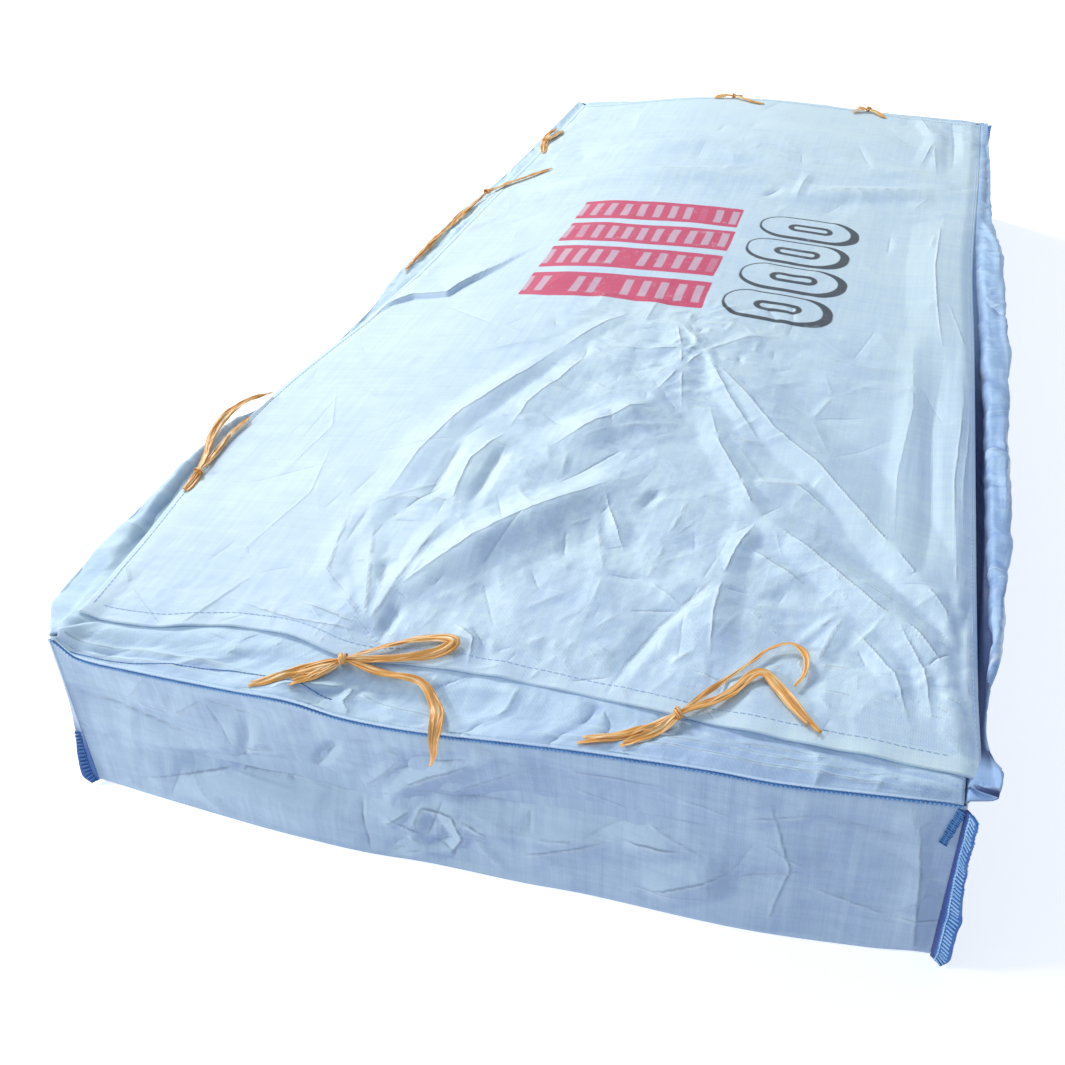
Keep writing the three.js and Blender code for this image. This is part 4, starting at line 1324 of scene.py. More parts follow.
@dataclass(frozen=True)
class Tray:
    """Base and four walls, cut as one panel."""

    foot_radius: float = 9.0  # Radius of the fold at the walls' foot
    step: float = 6.5  # Distance between the mesh's columns round the bag
    levels: int = 37  # Rows of the walls' mesh
    flat: Point = (1.83, 3.18)  # Size of the cut panel before its corners are taken out, in metres
    area: float = 5.4  # Its area without them

    FOOT_UP = 0.035  # Share of the height where the lowest row is
    RINGS = (0.35, 0.7, 0.93)  # The base's rings, as shares of its outline
    DECK = (0.9, 0.6, 0.3)  # Those of its upper side
    BENDS = (0, 22, 45, 67)  # Turns of the foot's fold, in degrees
    INNER = 6  # How many times coarser the walls' inside is

    def stations(self, side: Side) -> Array:
        """Return the shares of a side's length where the mesh has columns, the first at its corner.

        Args:
            side: One side of the bag.

        Returns:
            Shares from 0 at the first corner to 1 at the next.
        """
        clear = np.array([0, self.foot_radius + 1]) / side.run
        inner = np.linspace(2.2 * clear[1], 1 - 2.2 * clear[1], int(side.run / self.step))
        return np.concatenate([clear, inner, 1 - clear[1:]])

    def walls(self) -> tuple[Array, Array, dict[str, Array]]:
        """Return the walls' outside, row by row round the bag.

        Returns:
            The loop at the foot, the loops above it, and those loops' marks.
        """
        feet, places, marks = [], [], []
        ups = np.linspace(self.FOOT_UP, 1.0, self.levels)
        for side in SIDES:
            at = self.stations(side)
            feet.append(side.wall(at, np.zeros(at.shape)))
            at, up = np.meshgrid(at, ups)
            out, pressed, net = side.crumple(at, up)
            _, outward = side.line(at, up)
            wall = side.wall(at, up)
            wall[..., :2] += outward * out[..., None]
            places.append(wall)
            # Painted light and shade: the fold mark pales the walls on crests and where they face up and back
            # along the side, and deepens them in valleys and where they face away
            lean = painted_light_marks(out, at * side.run, up * side.curve(Curve.HEIGHT, at), 0.26)
            share = smoothstep(up, 0.02, 0.12) * smoothstep(up, 1.0, 0.93)
            fold = {"fold": 0.4 * bend_marks(out, 0.8) + lean}
            marks.append(fold | pressed.marks("", share) | net.marks("_fine", share))
        joined = {name: np.concatenate([part[name] for part in marks], axis=1) for name in marks[0]}
        return np.concatenate(feet), np.concatenate(places, axis=1), joined

    def build(self, finish: WovenCloth) -> Piece:
        """Build the closed shell and return its object.

        Args:
            finish: The walls' finish.

        Returns:
            The tray's object.
        """
        r = self.foot_radius
        foot, walls, marks = self.walls()
        bends = np.radians(self.BENDS)
        feet = [inset(foot, r * (1 - math.sin(a)), r * (1 - math.cos(a))) for a in bends]
        ground = feet[0]
        rings = [ground * np.array([s, s, 0]) for s in self.RINGS]
        inner = [inset(wall, CLOTH) for wall in walls[:: -self.INNER]]
        floor = inset(inner[-1], r - CLOTH, CLOTH)
        deck = [floor * np.array([s, s, 1]) for s in self.DECK]
        loops = [*rings, *feet, *walls, *inner, floor, *deck]
        count = len(ground)
        around = np.concatenate([[0], np.cumsum(np.linalg.norm(np.roll(ground, -1, 0) - ground, axis=-1))])
        places = np.concatenate([[(0, 0, 0)], *loops, [(0, 0, CLOTH)]])
        faces, corners, cloth = [], [], [np.zeros((1, 2))]
        first = len(rings) + len(feet)
        for k, loop in enumerate(loops):
            if len(rings) < k < first + self.levels:
                cloth.append(np.stack([around, np.append(loop[:, 2], loop[0, 2])], -1))
            else:
                cloth.append(np.concatenate([loop[:, :2], loop[:1, :2]]))
        cloth.append(np.zeros((1, 2)))
        # The cloth coordinates of a loop have one number more, since its last stretch ends on new ones
        for i in range(count):
            for out, n, j in ((faces, count, (i + 1) % count), (corners, count + 1, i + 1)):
                starts = range(1, 2 + len(loops) * n, n)
                out.append((0, 1 + j, 1 + i))
                out.extend((a + i, a + j, b + j, b + i) for a, b in zip(starts[:-2], starts[1:-1]))
                out.append((starts[-1], starts[-2] + i, starts[-2] + j))
        kept = {"crush": np.full(len(places), 0.8)}
        for name, values in marks.items():
            kept[name] = np.full(len(places), Pressed.FAR if name.startswith("line") else 0.0)
            kept[name][1 + first * count : 1 + (first + self.levels) * count] = values.ravel()
        made = Surface(places, faces, np.concatenate(cloth), corners, kept).make("tray_cloth", finish.build())
        posts = np.cumsum([0] + [len(self.stations(side)) for side in SIDES[:3]])
        for edge in made.data.edges:
            a, b = ((i - 1) % count for i in edge.vertices)
            edge.use_edge_sharp = a == b and a in posts
        return made

    def dress(self, made: Piece) -> None:
        """Hang the tray under the root and hide the solid that it stands in for.

        Args:
            made: The mesh that build made.
        """
        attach(made, ROOT)
        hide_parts("body")


# The lid


@dataclass(frozen=True)
class Lid:
    """Large hemmed sheet over the bag, with its creases."""

    columns: int = 300
    rows: int = 300
    under: int = 4  # How many times coarser its underside is
    # Widths of the left, right, front and back hems
    hems: tuple[float, float, float, float] = (15.0, 12.0, 31.0, 25.0)
    hem_rise: float = 0.45  # How much thicker they are
    droop: tuple[float, float] = (3.0, 7.0)  # How far the left and right edges hang
    flat: Point = (1.30, 2.56)  # Cut size, in metres

    LEFT_EDGE = Track.of((
        (-1250, -622), (-1090, -637), (-870, -660), (-600, -662), (-400, -642), (-250, -620), (0, -606),
        (500, -600), (900, -588), (1290, -590),
    ))
    RIGHT_EDGE = Track.of((
        (-1270, 644), (-1100, 636), (-735, 627), (-125, 613), (265, 602), (800, 606), (1290, 604),
    ))
    FRONT_EDGE = Track.of((
        (-622, -1238), (-500, -1235), (-400, -1214), (-300, -1216), (-200, -1238), (-90, -1226),
        (60, -1228), (200, -1242), (350, -1258), (634, -1268),
    ))
    BACK_EDGE = Track.of(((-590, 1266), (-120, 1288), (250, 1284), (600, 1270)))
    # Rows crowd towards the near end, where the creases are
    ROW_PLACES = ((0.0, 0.0), (0.02, 0.006), (0.7, 0.46), (0.985, 0.99), (1.0, 1.0))
    # Broad folds as in the solids: from, to, width and height
    FOLDS = (
        (60, -810, -170, -1090, 56, 12), (70, -560, -60, -720, 60, 8), (-160, -400, -280, -760, 40, 6),
        (-280, -760, -300, -1080, 44, 7), (505, -150, 520, -900, 40, 5), (-470, 500, 100, 640, 80, 8),
        (180, 540, 520, 690, 70, 8), (-380, 780, -80, 850, 80, 7), (280, 810, 540, 790, 70, 7),
        (60, 1060, 430, 980, 80, 7),
    )
    # Sharp creases, walking towards the near end, so that the left hand is the bag's right
    CREASES = crease_table(
        (((105, -320), (225, -480), (290, -575), (370, -655), (432, -745), (532, -885), (590, -980),
          (628, -1150)), 95, 42, 13, 0.3, 0.5),
        (((165, -520), (205, -640), (255, -730), (288, -800), (335, -860), (352, -910)), 36, 30, 9),
        (((288, -808), (400, -900), (500, -1000), (550, -1032), (602, -1105), (622, -1200)), 52, 34, 13,
         0.4, 0.5),
        (((268, -742), (350, -728), (402, -775)), 22, 62, 8, 0.6, 0.6),
        (((300, -900), (360, -940), (392, -962)), 16, 14, 5),
        (((300, -845), (282, -920), (276, -975)), 26, 30, 9, 0.3, 1.0),
        (((276, -975), (278, -1060), (288, -1130)), 34, 78, 10, 1.0, 0.3),
        (((270, -985), (210, -1090), (182, -1170), (172, -1225)), 16, 26, -6, 0.4, 0.5),
        (((240, -1165), (266, -1130)), 10, 12, 4),
        (((55, -812), (0, -880), (-50, -930), (-120, -1020), (-172, -1095)), 82, 66, 17, 0.4, 0.4),
        (((-72, -1148), (-36, -1172), (-28, -1214)), 16, 18, 5),
        (((60, -830), (90, -890), (122, -950)), 22, 18, 6),
        (((140, -795), (124, -852)), 12, 12, -5),
        (((-84, -396), (-110, -500), (-142, -600), (-152, -690)), 58, 42, 10),
        (((-150, -690), (-182, -790), (-176, -870), (-165, -930)), 36, 36, 8),
        (((-150, -388), (-182, -500), (-230, -612), (-252, -650), (-280, -770), (-286, -905)), 40, 50, 10),
        (((-215, -735), (-216, -900)), 12, 16, -6),
        (((-138, -735), (-142, -900)), 16, 12, -6),
        (((72, -556), (0, -650), (-62, -722)), 96, 60, 11),
        (((-190, -1160), (-178, -1040), (-165, -925)), 26, 26, 9, 1.0, 0.2),
        (((-200, -1165), (-240, -1060), (-272, -975)), 26, 22, 8, 1.0, 0.1),
        (((-205, -1170), (-300, -1080), (-332, -928)), 24, 26, 7, 1.0, 0.1),
        (((-210, -1180), (-312, -1150)), 18, 18, 6, 1.0, 0.1),
        (((-214, -1190), (-300, -1186), (-402, -1165)), 16, 18, 5, 1.0, 0.1),
        (((-280, -1088), (-250, -1132)), 10, 12, -5),
        (((-222, -1040), (-204, -1102)), 10, 10, -5),
        (((-160, -1128), (-166, -1202)), 10, 12, -6),
        (((-284, -902), (-200, -896), (-128, -900)), 22, 16, 5),
        (((-272, -1056), (-200, -1040)), 14, 14, 5),
        (((-300, -928), (-300, -1022)), 10, 14, -4),
        (((498, -180), (512, -420), (500, -640), (508, -860)), 14, 22, 2.2),
        (((556, -260), (548, -480), (560, -760), (552, -940)), 12, 18, -2.6),
        (((590, -150), (598, -380), (590, -640), (602, -900), (608, -1150)), 14, 30, 4, 0.3, 0.8),
        (((614, -880), (604, -976), (603, -1027)), 10, 16, 6),
        (((622, -939), (609, -1014), (611, -1124), (634, -1232)), 9, 15, -6, 0.3, 0.6),
        (((596, -1080), (616, -1141), (624, -1206), (640, -1250)), 12, 14, 6.5, 0.4, 0.8),
        (((560, 10), (596, -160), (606, -319), (610, -480), (604, -640), (609, -860)), 14, 26, 3.5, 0.5, 0.5),
        (((520, -1010), (566, -1100), (580, -1190)), 24, 18, 6),
        (((470, -1040), (530, -1120), (552, -1200)), 20, 22, 5),
        (((-408, 20), (-470, -100), (-482, -140), (-560, -146), (-602, -182), (-622, -252)), 7, 120, 12,
         0.4, 0.5),
        (((30, -190), (76, -340), (122, -552)), 30, 34, 6),
        (((118, -328), (60, -250), (20, -205)), 30, 30, 6, 1.0, 0.1),
        (((120, -332), (190, -260), (240, -230)), 26, 30, 5, 1.0, 0.1),
        (((122, -334), (160, -420), (200, -500), (262, -602)), 30, 26, 8, 1.0, 0.4),
        (((118, -334), (88, -430), (60, -520)), 24, 30, 6, 1.0, 0.1),
        (((114, -330), (10, -360), (-80, -370)), 26, 24, 5, 1.0, 0.1),
        (((-60, -210), (-110, -300), (-150, -388)), 24, 30, 5),
        (((204, -618), (266, -624)), 16, 30, 5, 0.6, 0.6),
        (((300, -270), (400, -300), (500, -290)), 34, 34, 3.5),
        (((330, -360), (420, -372), (520, -356)), 34, 30, 3),
        (((98, 492), (132, 560)), 14, 16, -5),
        (((176, 500), (184, 700)), 16, 16, 4),
        (((500, 800), (470, 1200)), 26, 26, 5),
        (((524, 430), (522, 200), (534, 10), (552, -160)), 84, 60, 10, 0.6, 0.3),
        (((437, 1262), (484, 1080), (458, 880)), 34, 26, 6, 0.8, 0.3),
        (((524, 1262), (536, 1060), (538, 890)), 22, 30, -6, 0.6, 0.3),
        (((-480, 500), (-300, 575), (0, 622)), 40, 60, 6),
        (((200, 552), (500, 682)), 40, 50, 5),
        (((-450, -760), (-420, -900), (-460, -1060)), 60, 70, 2.5),
        (((-540, -560), (-480, -700), (-500, -860)), 70, 60, 2.5),
    )
    # Heights of the form's left and right corners at each end, and of its crown over them
    NEAR, FAR = (287, 301), (293, 290)
    CROWN = 44
    # Share of the front rim's dips that it follows, and how far in, as a share of its length
    DIP, DIP_REACH = 0.45, 0.12
    # How the crown leans to the left, its slopes' widths, its rise at the front and its fall at the back
    LEAN, SLOPES = 0.86, (0.42, 0.5)
    RISE, FALL = 0.3, (0.82, 0.25)
    # Depth of the hem's stitched groove, its distance from the hem's inner edge, and its width
    GROOVE = (0.6, 5, 3.0)
    SPAN = (-1238.0, 1266.0)  # Places of the first and last rows on the side edges
    AREA = (-700.0, 700.0, -1300.0, 1320.0)
    FACETS = (Facets(118, 4.8, 5, AREA), Facets(54, 1.8, 6, AREA))
    # Its nets of small creases, each with the share of its edges kept: all over, and in the crushed core
    NETS = ((Facets(96, 4.8, 31, AREA), 0.42), (Facets(46, 3.0, 32, AREA), 0.18))
    CORE_NET = (Facets(33, 4.6, 33, AREA), 0.5)
    # Where the cloth is most crushed: place, reach across and along, and share
    CRUSHED = (
        (60, -430, 260, 210, 1.0), (-20, -900, 250, 280, 0.85), (330, -1000, 240, 230, 0.85),
        (80, -180, 260, 120, 0.6), (-430, -900, 220, 330, 0.2), (560, -1100, 120, 160, 0.9),
        (0, -1190, 640, 60, 0.6), (-560, -1170, 140, 120, 0.6), (100, 620, 520, 320, 0.35),
        (520, 1180, 160, 160, 0.8), (-560, 900, 120, 420, 0.5),
    )
    CORE = ((110, -350, 110, 170, 1.0), (-205, -1130, 90, 60, 0.8), (590, -1150, 60, 90, 0.9))

    def edges(self, x: Array, y: Array) -> tuple[Array, Array, Array, Array]:
        """Return the left, right, front and back edges beside places."""
        return self.LEFT_EDGE(y), self.RIGHT_EDGE(y), self.FRONT_EDGE(x), self.BACK_EDGE(x)

    def gaps(self, x: Array, y: Array) -> Array:
        """Return the distances inside the left, right, front and back edges, in the last axis."""
        left, right, front, back = self.edges(x, y)
        return np.stack([x - left, right - x, y - front, back - y], -1)

    def inside(self, x: Array, y: Array) -> Array:
        """Return the distance inside the outline in plan, below 0 outside it."""
        return self.gaps(x, y).min(-1)

    def form(self, x: Array, y: Array) -> Array:
        """Return the height of the smooth crowned form.

        Args:
            x, y: Places across and along.

        Returns:
            Heights of the sheet's middle.
        """
        left, right, front, back = self.edges(x, y)
        across = np.clip((x - left) / (right - left), 0, 1)
        along = np.clip((y - front) / (back - front), 0, 1)
        near, far = lerp(*self.NEAR, across), lerp(*self.FAR, across)
        rim = FRONT.curve(Curve.HEIGHT, (x + HALF_WIDTH) / (2 * HALF_WIDTH))
        level = lerp(FRONT_LEFT.height, FRONT_RIGHT.height, across)
        dip = (rim - level) * self.DIP * (1 - np.minimum(along / self.DIP_REACH, 1)) ** 2
        leaning = across**self.LEAN
        arch = smoothstep(leaning, 0, self.SLOPES[0]) * smoothstep(1 - leaning, 0, self.SLOPES[1])
        rise = 1 - (1 - np.minimum(along / self.RISE, 1)) ** 2
        fall = lerp(self.FALL[0], 1, np.minimum((1 - along) / self.FALL[1], 1))
        return lerp(near, far, along) + dip + self.CROWN * arch * rise * fall

    def crushed(self, x: Array, y: Array, spots: Sequence[Sequence[float]] | None = None) -> Array:
        """Return how crushed the cloth is at places.

        Args:
            x, y: Places across and along.
            spots: Crushed spots, or None for all of the lid's.

        Returns:
            Shares, 1 where it is fully crushed.
        """
        total = np.full(np.shape(x), 0.1 if spots is None else 0.0)
        for cx, cy, rx, ry, share in spots or self.CRUSHED:
            total = total + share * np.exp(-(((x - cx) / rx) ** 2) - ((y - cy) / ry) ** 2)
        return np.minimum(total, 1.15)

    def relief(self, x: Array, y: Array) -> tuple[Array, Pressed, Pressed]:
        """Return what the folds, creases and facets add to the form's height.

        Args:
            x, y: Places across and along.

        Returns:
            Heights over the smooth form, what the creases do, and what the finer ones do.
        """
        broad = np.max([soft_fold(x, y, row, 0.45) for row in self.FOLDS], axis=0)
        pressed, net = Pressed.by(self.CREASES, x, y), Pressed.by(self.net(), x, y)
        facets = sum(f.raise_on(x, y, self.crushed) for f in self.FACETS)
        gaps = self.gaps(x, y)
        fade = smoothstep(gaps[..., 2:].min(-1), -4, 60) * smoothstep(gaps[..., :2].min(-1), -8, 22)
        # The front hem's gathers, and low ripples across the far half
        pucker = np.sin(x / 23.0 + 2 * np.sin(x / 71.0)) * np.sin(x / 53.0 + 1) * 2.2
        pucker = pucker * np.exp(-gaps[..., 2] / 40)
        ripple = 1.6 * np.sin(y / 38.0 + 2.2 * np.sin(y / 131.0 + x / 260.0)) * smoothstep(y, 300, 700)
        hang = sum(d * (1 - smoothstep(gaps[..., i], -2, 30)) for i, d in enumerate(self.droop))
        folds = (broad + pressed.height + 0.8 * net.height + ripple) * fade
        calm = 1 - 0.65 * smoothstep(x, -60, -360) * smoothstep(y, -60, -360)
        facets = facets * (0.55 + 0.45 * smoothstep(gaps.min(-1), 0, 50))
        return (folds + facets) * calm + pucker - hang, pressed, net

    @cache
    def net(self) -> tuple[Crease, ...]:
        """Return a net of small creases where the cloth is crushed.

        Returns:
            The creases, coarse ones first.
        """
        nets = [crease for net, kept in self.NETS for crease in net.edges(self.crushed, kept)]
        net, kept = self.CORE_NET
        return (*nets, *net.edges(lambda a, b: self.crushed(a, b, self.CORE), kept))

    def places(self) -> tuple[Array, Array]:
        """Return the upper mesh's places in plan.

        Returns:
            The x and the y of each point.
        """
        u = np.linspace(0, 1, self.columns + 1)
        shares = np.asarray(self.ROW_PLACES)
        v = np.interp(np.linspace(0, 1, self.rows + 1), shares[:, 0], shares[:, 1])
        u, v = np.meshgrid(u, v)
        y0 = lerp(*self.SPAN, v)
        x = lerp(self.LEFT_EDGE(y0), self.RIGHT_EDGE(y0), u)
        return x, lerp(self.FRONT_EDGE(x), self.BACK_EDGE(x), v)

    def build(self, finish: PrintedCloth) -> Piece:
        """Build the lid.

        Args:
            finish: Its cloth.

        Returns:
            The lid's object.
        """
        x, y = self.places()
        relief, pressed, net = self.relief(x, y)
        inside = self.inside(x, y)
        past = (self.gaps(x, y) - np.asarray(self.hems)).min(-1)
        depth, back, width = self.GROOVE
        groove = depth * np.exp(-(((past + back) / width) ** 2))
        height = self.form(x, y) + relief
        hem = self.hem_rise * smoothstep(past, 1, -2.5)
        top = np.stack([x, y, height + CLOTH / 2 + hem - groove], -1)
        k = self.under
        # The coarse underside keeps to the lowest height around each of its points
        padded = np.pad(height, k, constant_values=np.inf)
        around = np.lib.stride_tricks.sliding_window_view(padded, (2 * k + 1, 2 * k + 1))
        low = lerp(height, around.min((2, 3)), smoothstep(inside, 2, 12))
        bottom = np.stack([x, y, low - CLOTH / 2], -1)[::k, ::k]
        # Painted light and shade: the fold mark pales the lid on crests and slopes facing the far left, and
        # deepens it in valleys and on slopes turned from it
        marks = {
            "fold": 0.5 * bend_marks(relief, 0.9) + painted_light_marks(relief, x, y, 0.75),
            "crush": np.clip(self.crushed(x, y), 0.1, 1.0) * smoothstep(inside, 0, 40),
        }
        # A painted highlight over the right part of the front hem
        front = self.gaps(x, y)[..., 2]
        marks["fold"] += 0.55 * smoothstep(front, 33, 27) * smoothstep(x, 60, 420)
        share = smoothstep(inside, 2, 14)
        marks |= pressed.marks("", share) | net.marks("_fine", share)
        surface = closed_sheet(top, bottom, np.stack([x, y], -1), marks)
        return surface.make("lid_cloth", finish.build())

    def dress(self, made: Piece, stitches: Piece) -> None:
        """Hang the lid and its stitches under the root and hide the solid that the lid stands in for.

        Args:
            made: The mesh that build made.
            stitches: The stitch row along its front hem.
        """
        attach(made, ROOT)
        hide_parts("lid")
        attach(stitches, ROOT)

    def hem_paths(self, ground: "Ground") -> list[tuple[Array, Array]]:
        """Return the hem's stitch line along the four edges.

        Args:
            ground: The cloth that the line lies on.

        Returns:
            The line's points and the way that the cloth faces, edge by edge.
        """
        left, right, front, back = (hem - self.GROOVE[1] for hem in self.hems)
        along = np.arange(-1210, 1250, 6.0)
        across = np.arange(-596, 600, 6.0)
        lines = [
            np.stack([across, self.FRONT_EDGE(across) + front], -1),
            np.stack([across, self.BACK_EDGE(across) - back], -1),
            np.stack([self.LEFT_EDGE(along) + left, along], -1),
            np.stack([self.RIGHT_EDGE(along) - right, along], -1),
        ]
        return [ground.path(line, 0.35) for line in lines]


# The skirts


@dataclass(frozen=True)
class Skirt:
    """Closing cloth sewn along a wall's top, rolled out over the seam and turned in under the lid."""

    side: Side
    node: str
    top: float  # Height of its roll over the seam
    dive: float  # How far outside the lid's edge it starts to go down
    cleft: float  # How far it dips beside that edge
    rest: float  # Its gap under the lid
    flat: Point  # Cut size, in metres
    cleft_out: float = 0.0  # How far outside the lid's edge the dip is deepest
    cleft_width: float = 45.0  # The dip's reach on either hand
    held_back: float = 0.0  # How much further its inner part starts from the side's first corner
    square: float = 0.0  # Depth over which its last end is cut square, not to a mitre
    # Share of the roll's height along the side
    crest: Track = Track.of(((0, 0.3), (0.06, 1), (0.94, 1), (1, 0.3)))
    dips: Track = Track.of(((0, 1), (1, 1)))  # Share of the dip along the side
    swell: Track = Track.of(((0, 0), (1, 0)))  # How much further the roll stands out along the side
    dark: float = 0.0  # How much shade is painted in the dip
    step: float = 6.0  # Distance between the mesh's columns
    rows: int = 60
    creases: tuple[Crease, ...] = ()  # Sharp creases on its outer part, along it and from the seam inwards

    DEPTH = 240.0  # How far it goes in under the lid
    CORNER_GAP = 3.4  # Its gap from the corner, at the seam
    MITRE = 1.03  # How far its ends are cut back for each millimetre inwards
    SAG = (6, 26)  # How far it hangs away under the lid's edge, and further in
    # Spacing and height of its large and its small facets, and of its net of small creases
    COARSE, FINE, NET = (70, 3.6), (28, 1.8), (54, 3.2)
    # Share of the width from the seam, then shares of the roll outwards, of its height and of the depth
    PROFILE = (
        (0.0, 0, 0, 0), (0.1, 0.125, 0.3, 0), (0.2, 0.75, 0.55, 0), (0.3, 1, 0.85, 0), (0.4, 0.72, 1, 0),
        (0.5, 0.28, 0.95, 0.03), (0.6, 0, 0.8, 0.1), (0.7, 0, 0.7, 0.22), (0.8, 0, 0.6, 0.42),
        (1.0, 0, 0.4, 1),
    )

    def middle(self, u: Array, v: Array, lid: Lid) -> tuple[Array, Array, Array]:
        """Return the middle surface, how far it lies under the lid and how much shade is painted on it.

        Args:
            u, v: Shares of the skirt's length, and of its width from the seam.
            lid: The lid that it carries.

        Returns:
            Places, distances inside the lid's outline, and shares of darkness.
        """
        out_of, up_of, in_of = (Track.of(self.PROFILE, column)(v) for column in (1, 2, 3))
        depth = in_of * self.DEPTH
        first, last = self.side.line(np.array([0.0, 1.0]), 1.0)[0]
        length = float(np.linalg.norm(last - first))
        begin = self.CORNER_GAP + self.MITRE * depth + self.held_back * smoothstep(depth, 4, 16)
        finish = self.CORNER_GAP + self.MITRE * np.maximum(depth - self.square, 0)
        at = lerp(begin / length, 1 - finish / length, u)
        rim, (_, outward) = self.side.wall(at, 1.0), self.side.line(at, 1.0)
        roll = self.side.curve(Curve.ROLL, at) - self.side.curve(Curve.RIM, at) + self.swell(at)
        out = roll * out_of - depth - CLOTH / 2
        plan = rim[..., :2] + outward * out[..., None]
        x, y = plan[..., 0], plan[..., 1]
        covered = lid.inside(x, y)
        free = rim[..., 2] + 0.3 + self.top * up_of * self.crest(at)
        sag = self.SAG[0] * smoothstep(covered, 20, 80) + self.SAG[1] * smoothstep(covered, 90, 240)
        relief = lid.relief(x, y)[0] * smoothstep(covered, -6, 10)
        dip = ridge(covered + self.cleft_out, self.cleft_width) * self.dips(at)
        cleft = self.cleft * dip
        under = lid.form(x, y) + relief - CLOTH - self.rest - cleft - sag
        past = smoothstep(v, 0.1, 0.45)
        share = past * smoothstep(covered, -self.dive, -10)
        height = lerp(free, under, share)
        over_rim = np.where(v < 0.1, 0, rim[..., 2] + 4.5 - depth * 0.22)
        height = np.maximum(height, over_rim)
        # Shade painted deep in the dip beside the lid's edge, and at the first end of a held-back skirt
        inner = smoothstep(v, 0.3, 0.4) * smoothstep(covered, -22, -14) * self.dark * self.dips(at)
        if self.held_back > 0:
            inner = np.maximum(inner, 0.95 * smoothstep(at * length, 19, 11))
        return np.stack([x, y, height], -1), covered, inner

    def crumple(self, run: Array, width: Array, covered: Array) -> tuple[Array, Pressed, Pressed]:
        """Return how far creases and facets lift the skirt off its middle surface.

        Args:
            run: Distances along the skirt.
            width: Distances from the seam.
            covered: Distances inside the lid's outline.

        Returns:
            Distances outwards, what the creases do, and what the finer ones do.
        """
        seed = 60 + len(self.side.name)
        area = (0.0, self.side.run, 0.0, 330.0)

        def full(a: Array, b: Array) -> Array:
            """Return that the skirt is crushed all over."""
            return np.ones(np.shape(a))

        pressed = Pressed.by(self.creases, run, width)
        net = Pressed.by(Facets(*self.NET, seed + 2, area).edges(full, Side.KEPT), run, width)
        out = pressed.height + net.height + Facets(*self.COARSE, seed, area).raise_on(run, width, full)
        out = out + Facets(*self.FINE, seed + 1, area).raise_on(run, width, full)
        return out * smoothstep(width, 4, 24) * smoothstep(covered, 4, -22), pressed, net

    def build(self, finish: WovenCloth, lid: Lid) -> Piece:
        """Build the skirt.

        Args:
            finish: Its cloth.
            lid: The lid that lies on it.

        Returns:
            The skirt's object.
        """
        columns = int(self.side.run / self.step)
        # Rows crowd towards the seam
        u, v = np.meshgrid(np.linspace(0, 1, columns + 1), np.linspace(0, 1, self.rows + 1) ** 1.25)
        middle, covered, gloom = self.middle(u, v, lid)
        normal = normals_of(middle)
        stretch = np.linalg.norm(np.diff(middle, axis=0, prepend=middle[:1]), axis=-1)
        width = np.cumsum(stretch, axis=0)
        run = u * self.side.run
        lift, pressed, net = self.crumple(run, width, covered)
        middle = middle + normal * lift[..., None]
        normal = normals_of(middle)
        top, bottom = middle + normal * CLOTH / 2, middle - normal * CLOTH / 2
        # Painted light and shade from the fold mark, as on the lid
        marks = {
            "fold": 0.6 * bend_marks(lift, 0.6) + 0.8 * painted_light_marks(lift, run, width, 0.4),
            # Shade painted in the dip beside the lid's edge
            "gloom": gloom,
            "crush": 0.9 * smoothstep(covered, 20, -10),
        }
        share = smoothstep(covered, 4, -22) * smoothstep(width, 3, 14)
        marks |= pressed.marks("", share) | net.marks("_fine", share)
        # The roll's inside is painted in shade where its dip is dark
        under = {"gloom": 0.9 * smoothstep(v, 0.02, 0.06) * smoothstep(self.dark * self.dips(u), 0.5, 0.8)}
        surface = closed_sheet(top, bottom, np.stack([run, width], -1), marks, under)
        return surface.make(self.side.name + "_skirt", finish.build())

    def dress(self, made: Piece) -> None:
        """Hang the skirt under the root and hide the solid that it stands in for.

        Args:
            made: The mesh that build made.
        """
        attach(made, ROOT)
        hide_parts(self.node)


FRONT_SKIRT = Skirt(
    FRONT, "skirt_front", 9, 62, 0, 1.7, (0.28, 1.25), held_back=-15.0, square=44.0, step=5.0,
    creases=crease_table(
        (((700, 20), (900, 32), (1100, 24), (1242, 10)), 8, 14, 4.5, 0.1, 0.9),
        (((760, 44), (960, 50), (1120, 38), (1244, 14)), 9, 12, 4.5, 0.1, 1.0),
        (((900, 62), (1040, 60), (1150, 46), (1246, 18)), 9, 11, 4.5, 0.1, 1.0),
        (((1090, 64), (1180, 46), (1248, 22)), 9, 12, -4.5, 0.4, 1.0),
        (((1150, 72), (1210, 54), (1250, 26)), 9, 12, 5.0, 0.6, 1.0),
        (((1196, 78), (1232, 56), (1252, 32)), 8, 10, -4.5, 0.6, 1.0),
        (((10, 26), (120, 44), (260, 50), (330, 42)), 9, 12, 4.0, 0.6, 0.2),
        (((20, 12), (140, 24), (270, 26)), 7, 9, 3.0, 0.8, 0.2),
        (((420, 60), (380, 40), (350, 14)), 9, 12, 3.5, 1.0, 0.2),
        (((440, 62), (450, 38), (470, 12)), 9, 10, 3.5, 1.0, 0.2),
        (((460, 56), (520, 38), (600, 30)), 9, 10, 3.0, 0.9, 0.1),
        (((880, 50), (840, 30), (800, 12)), 9, 10, 3.0, 0.9, 0.2),
    ),
)
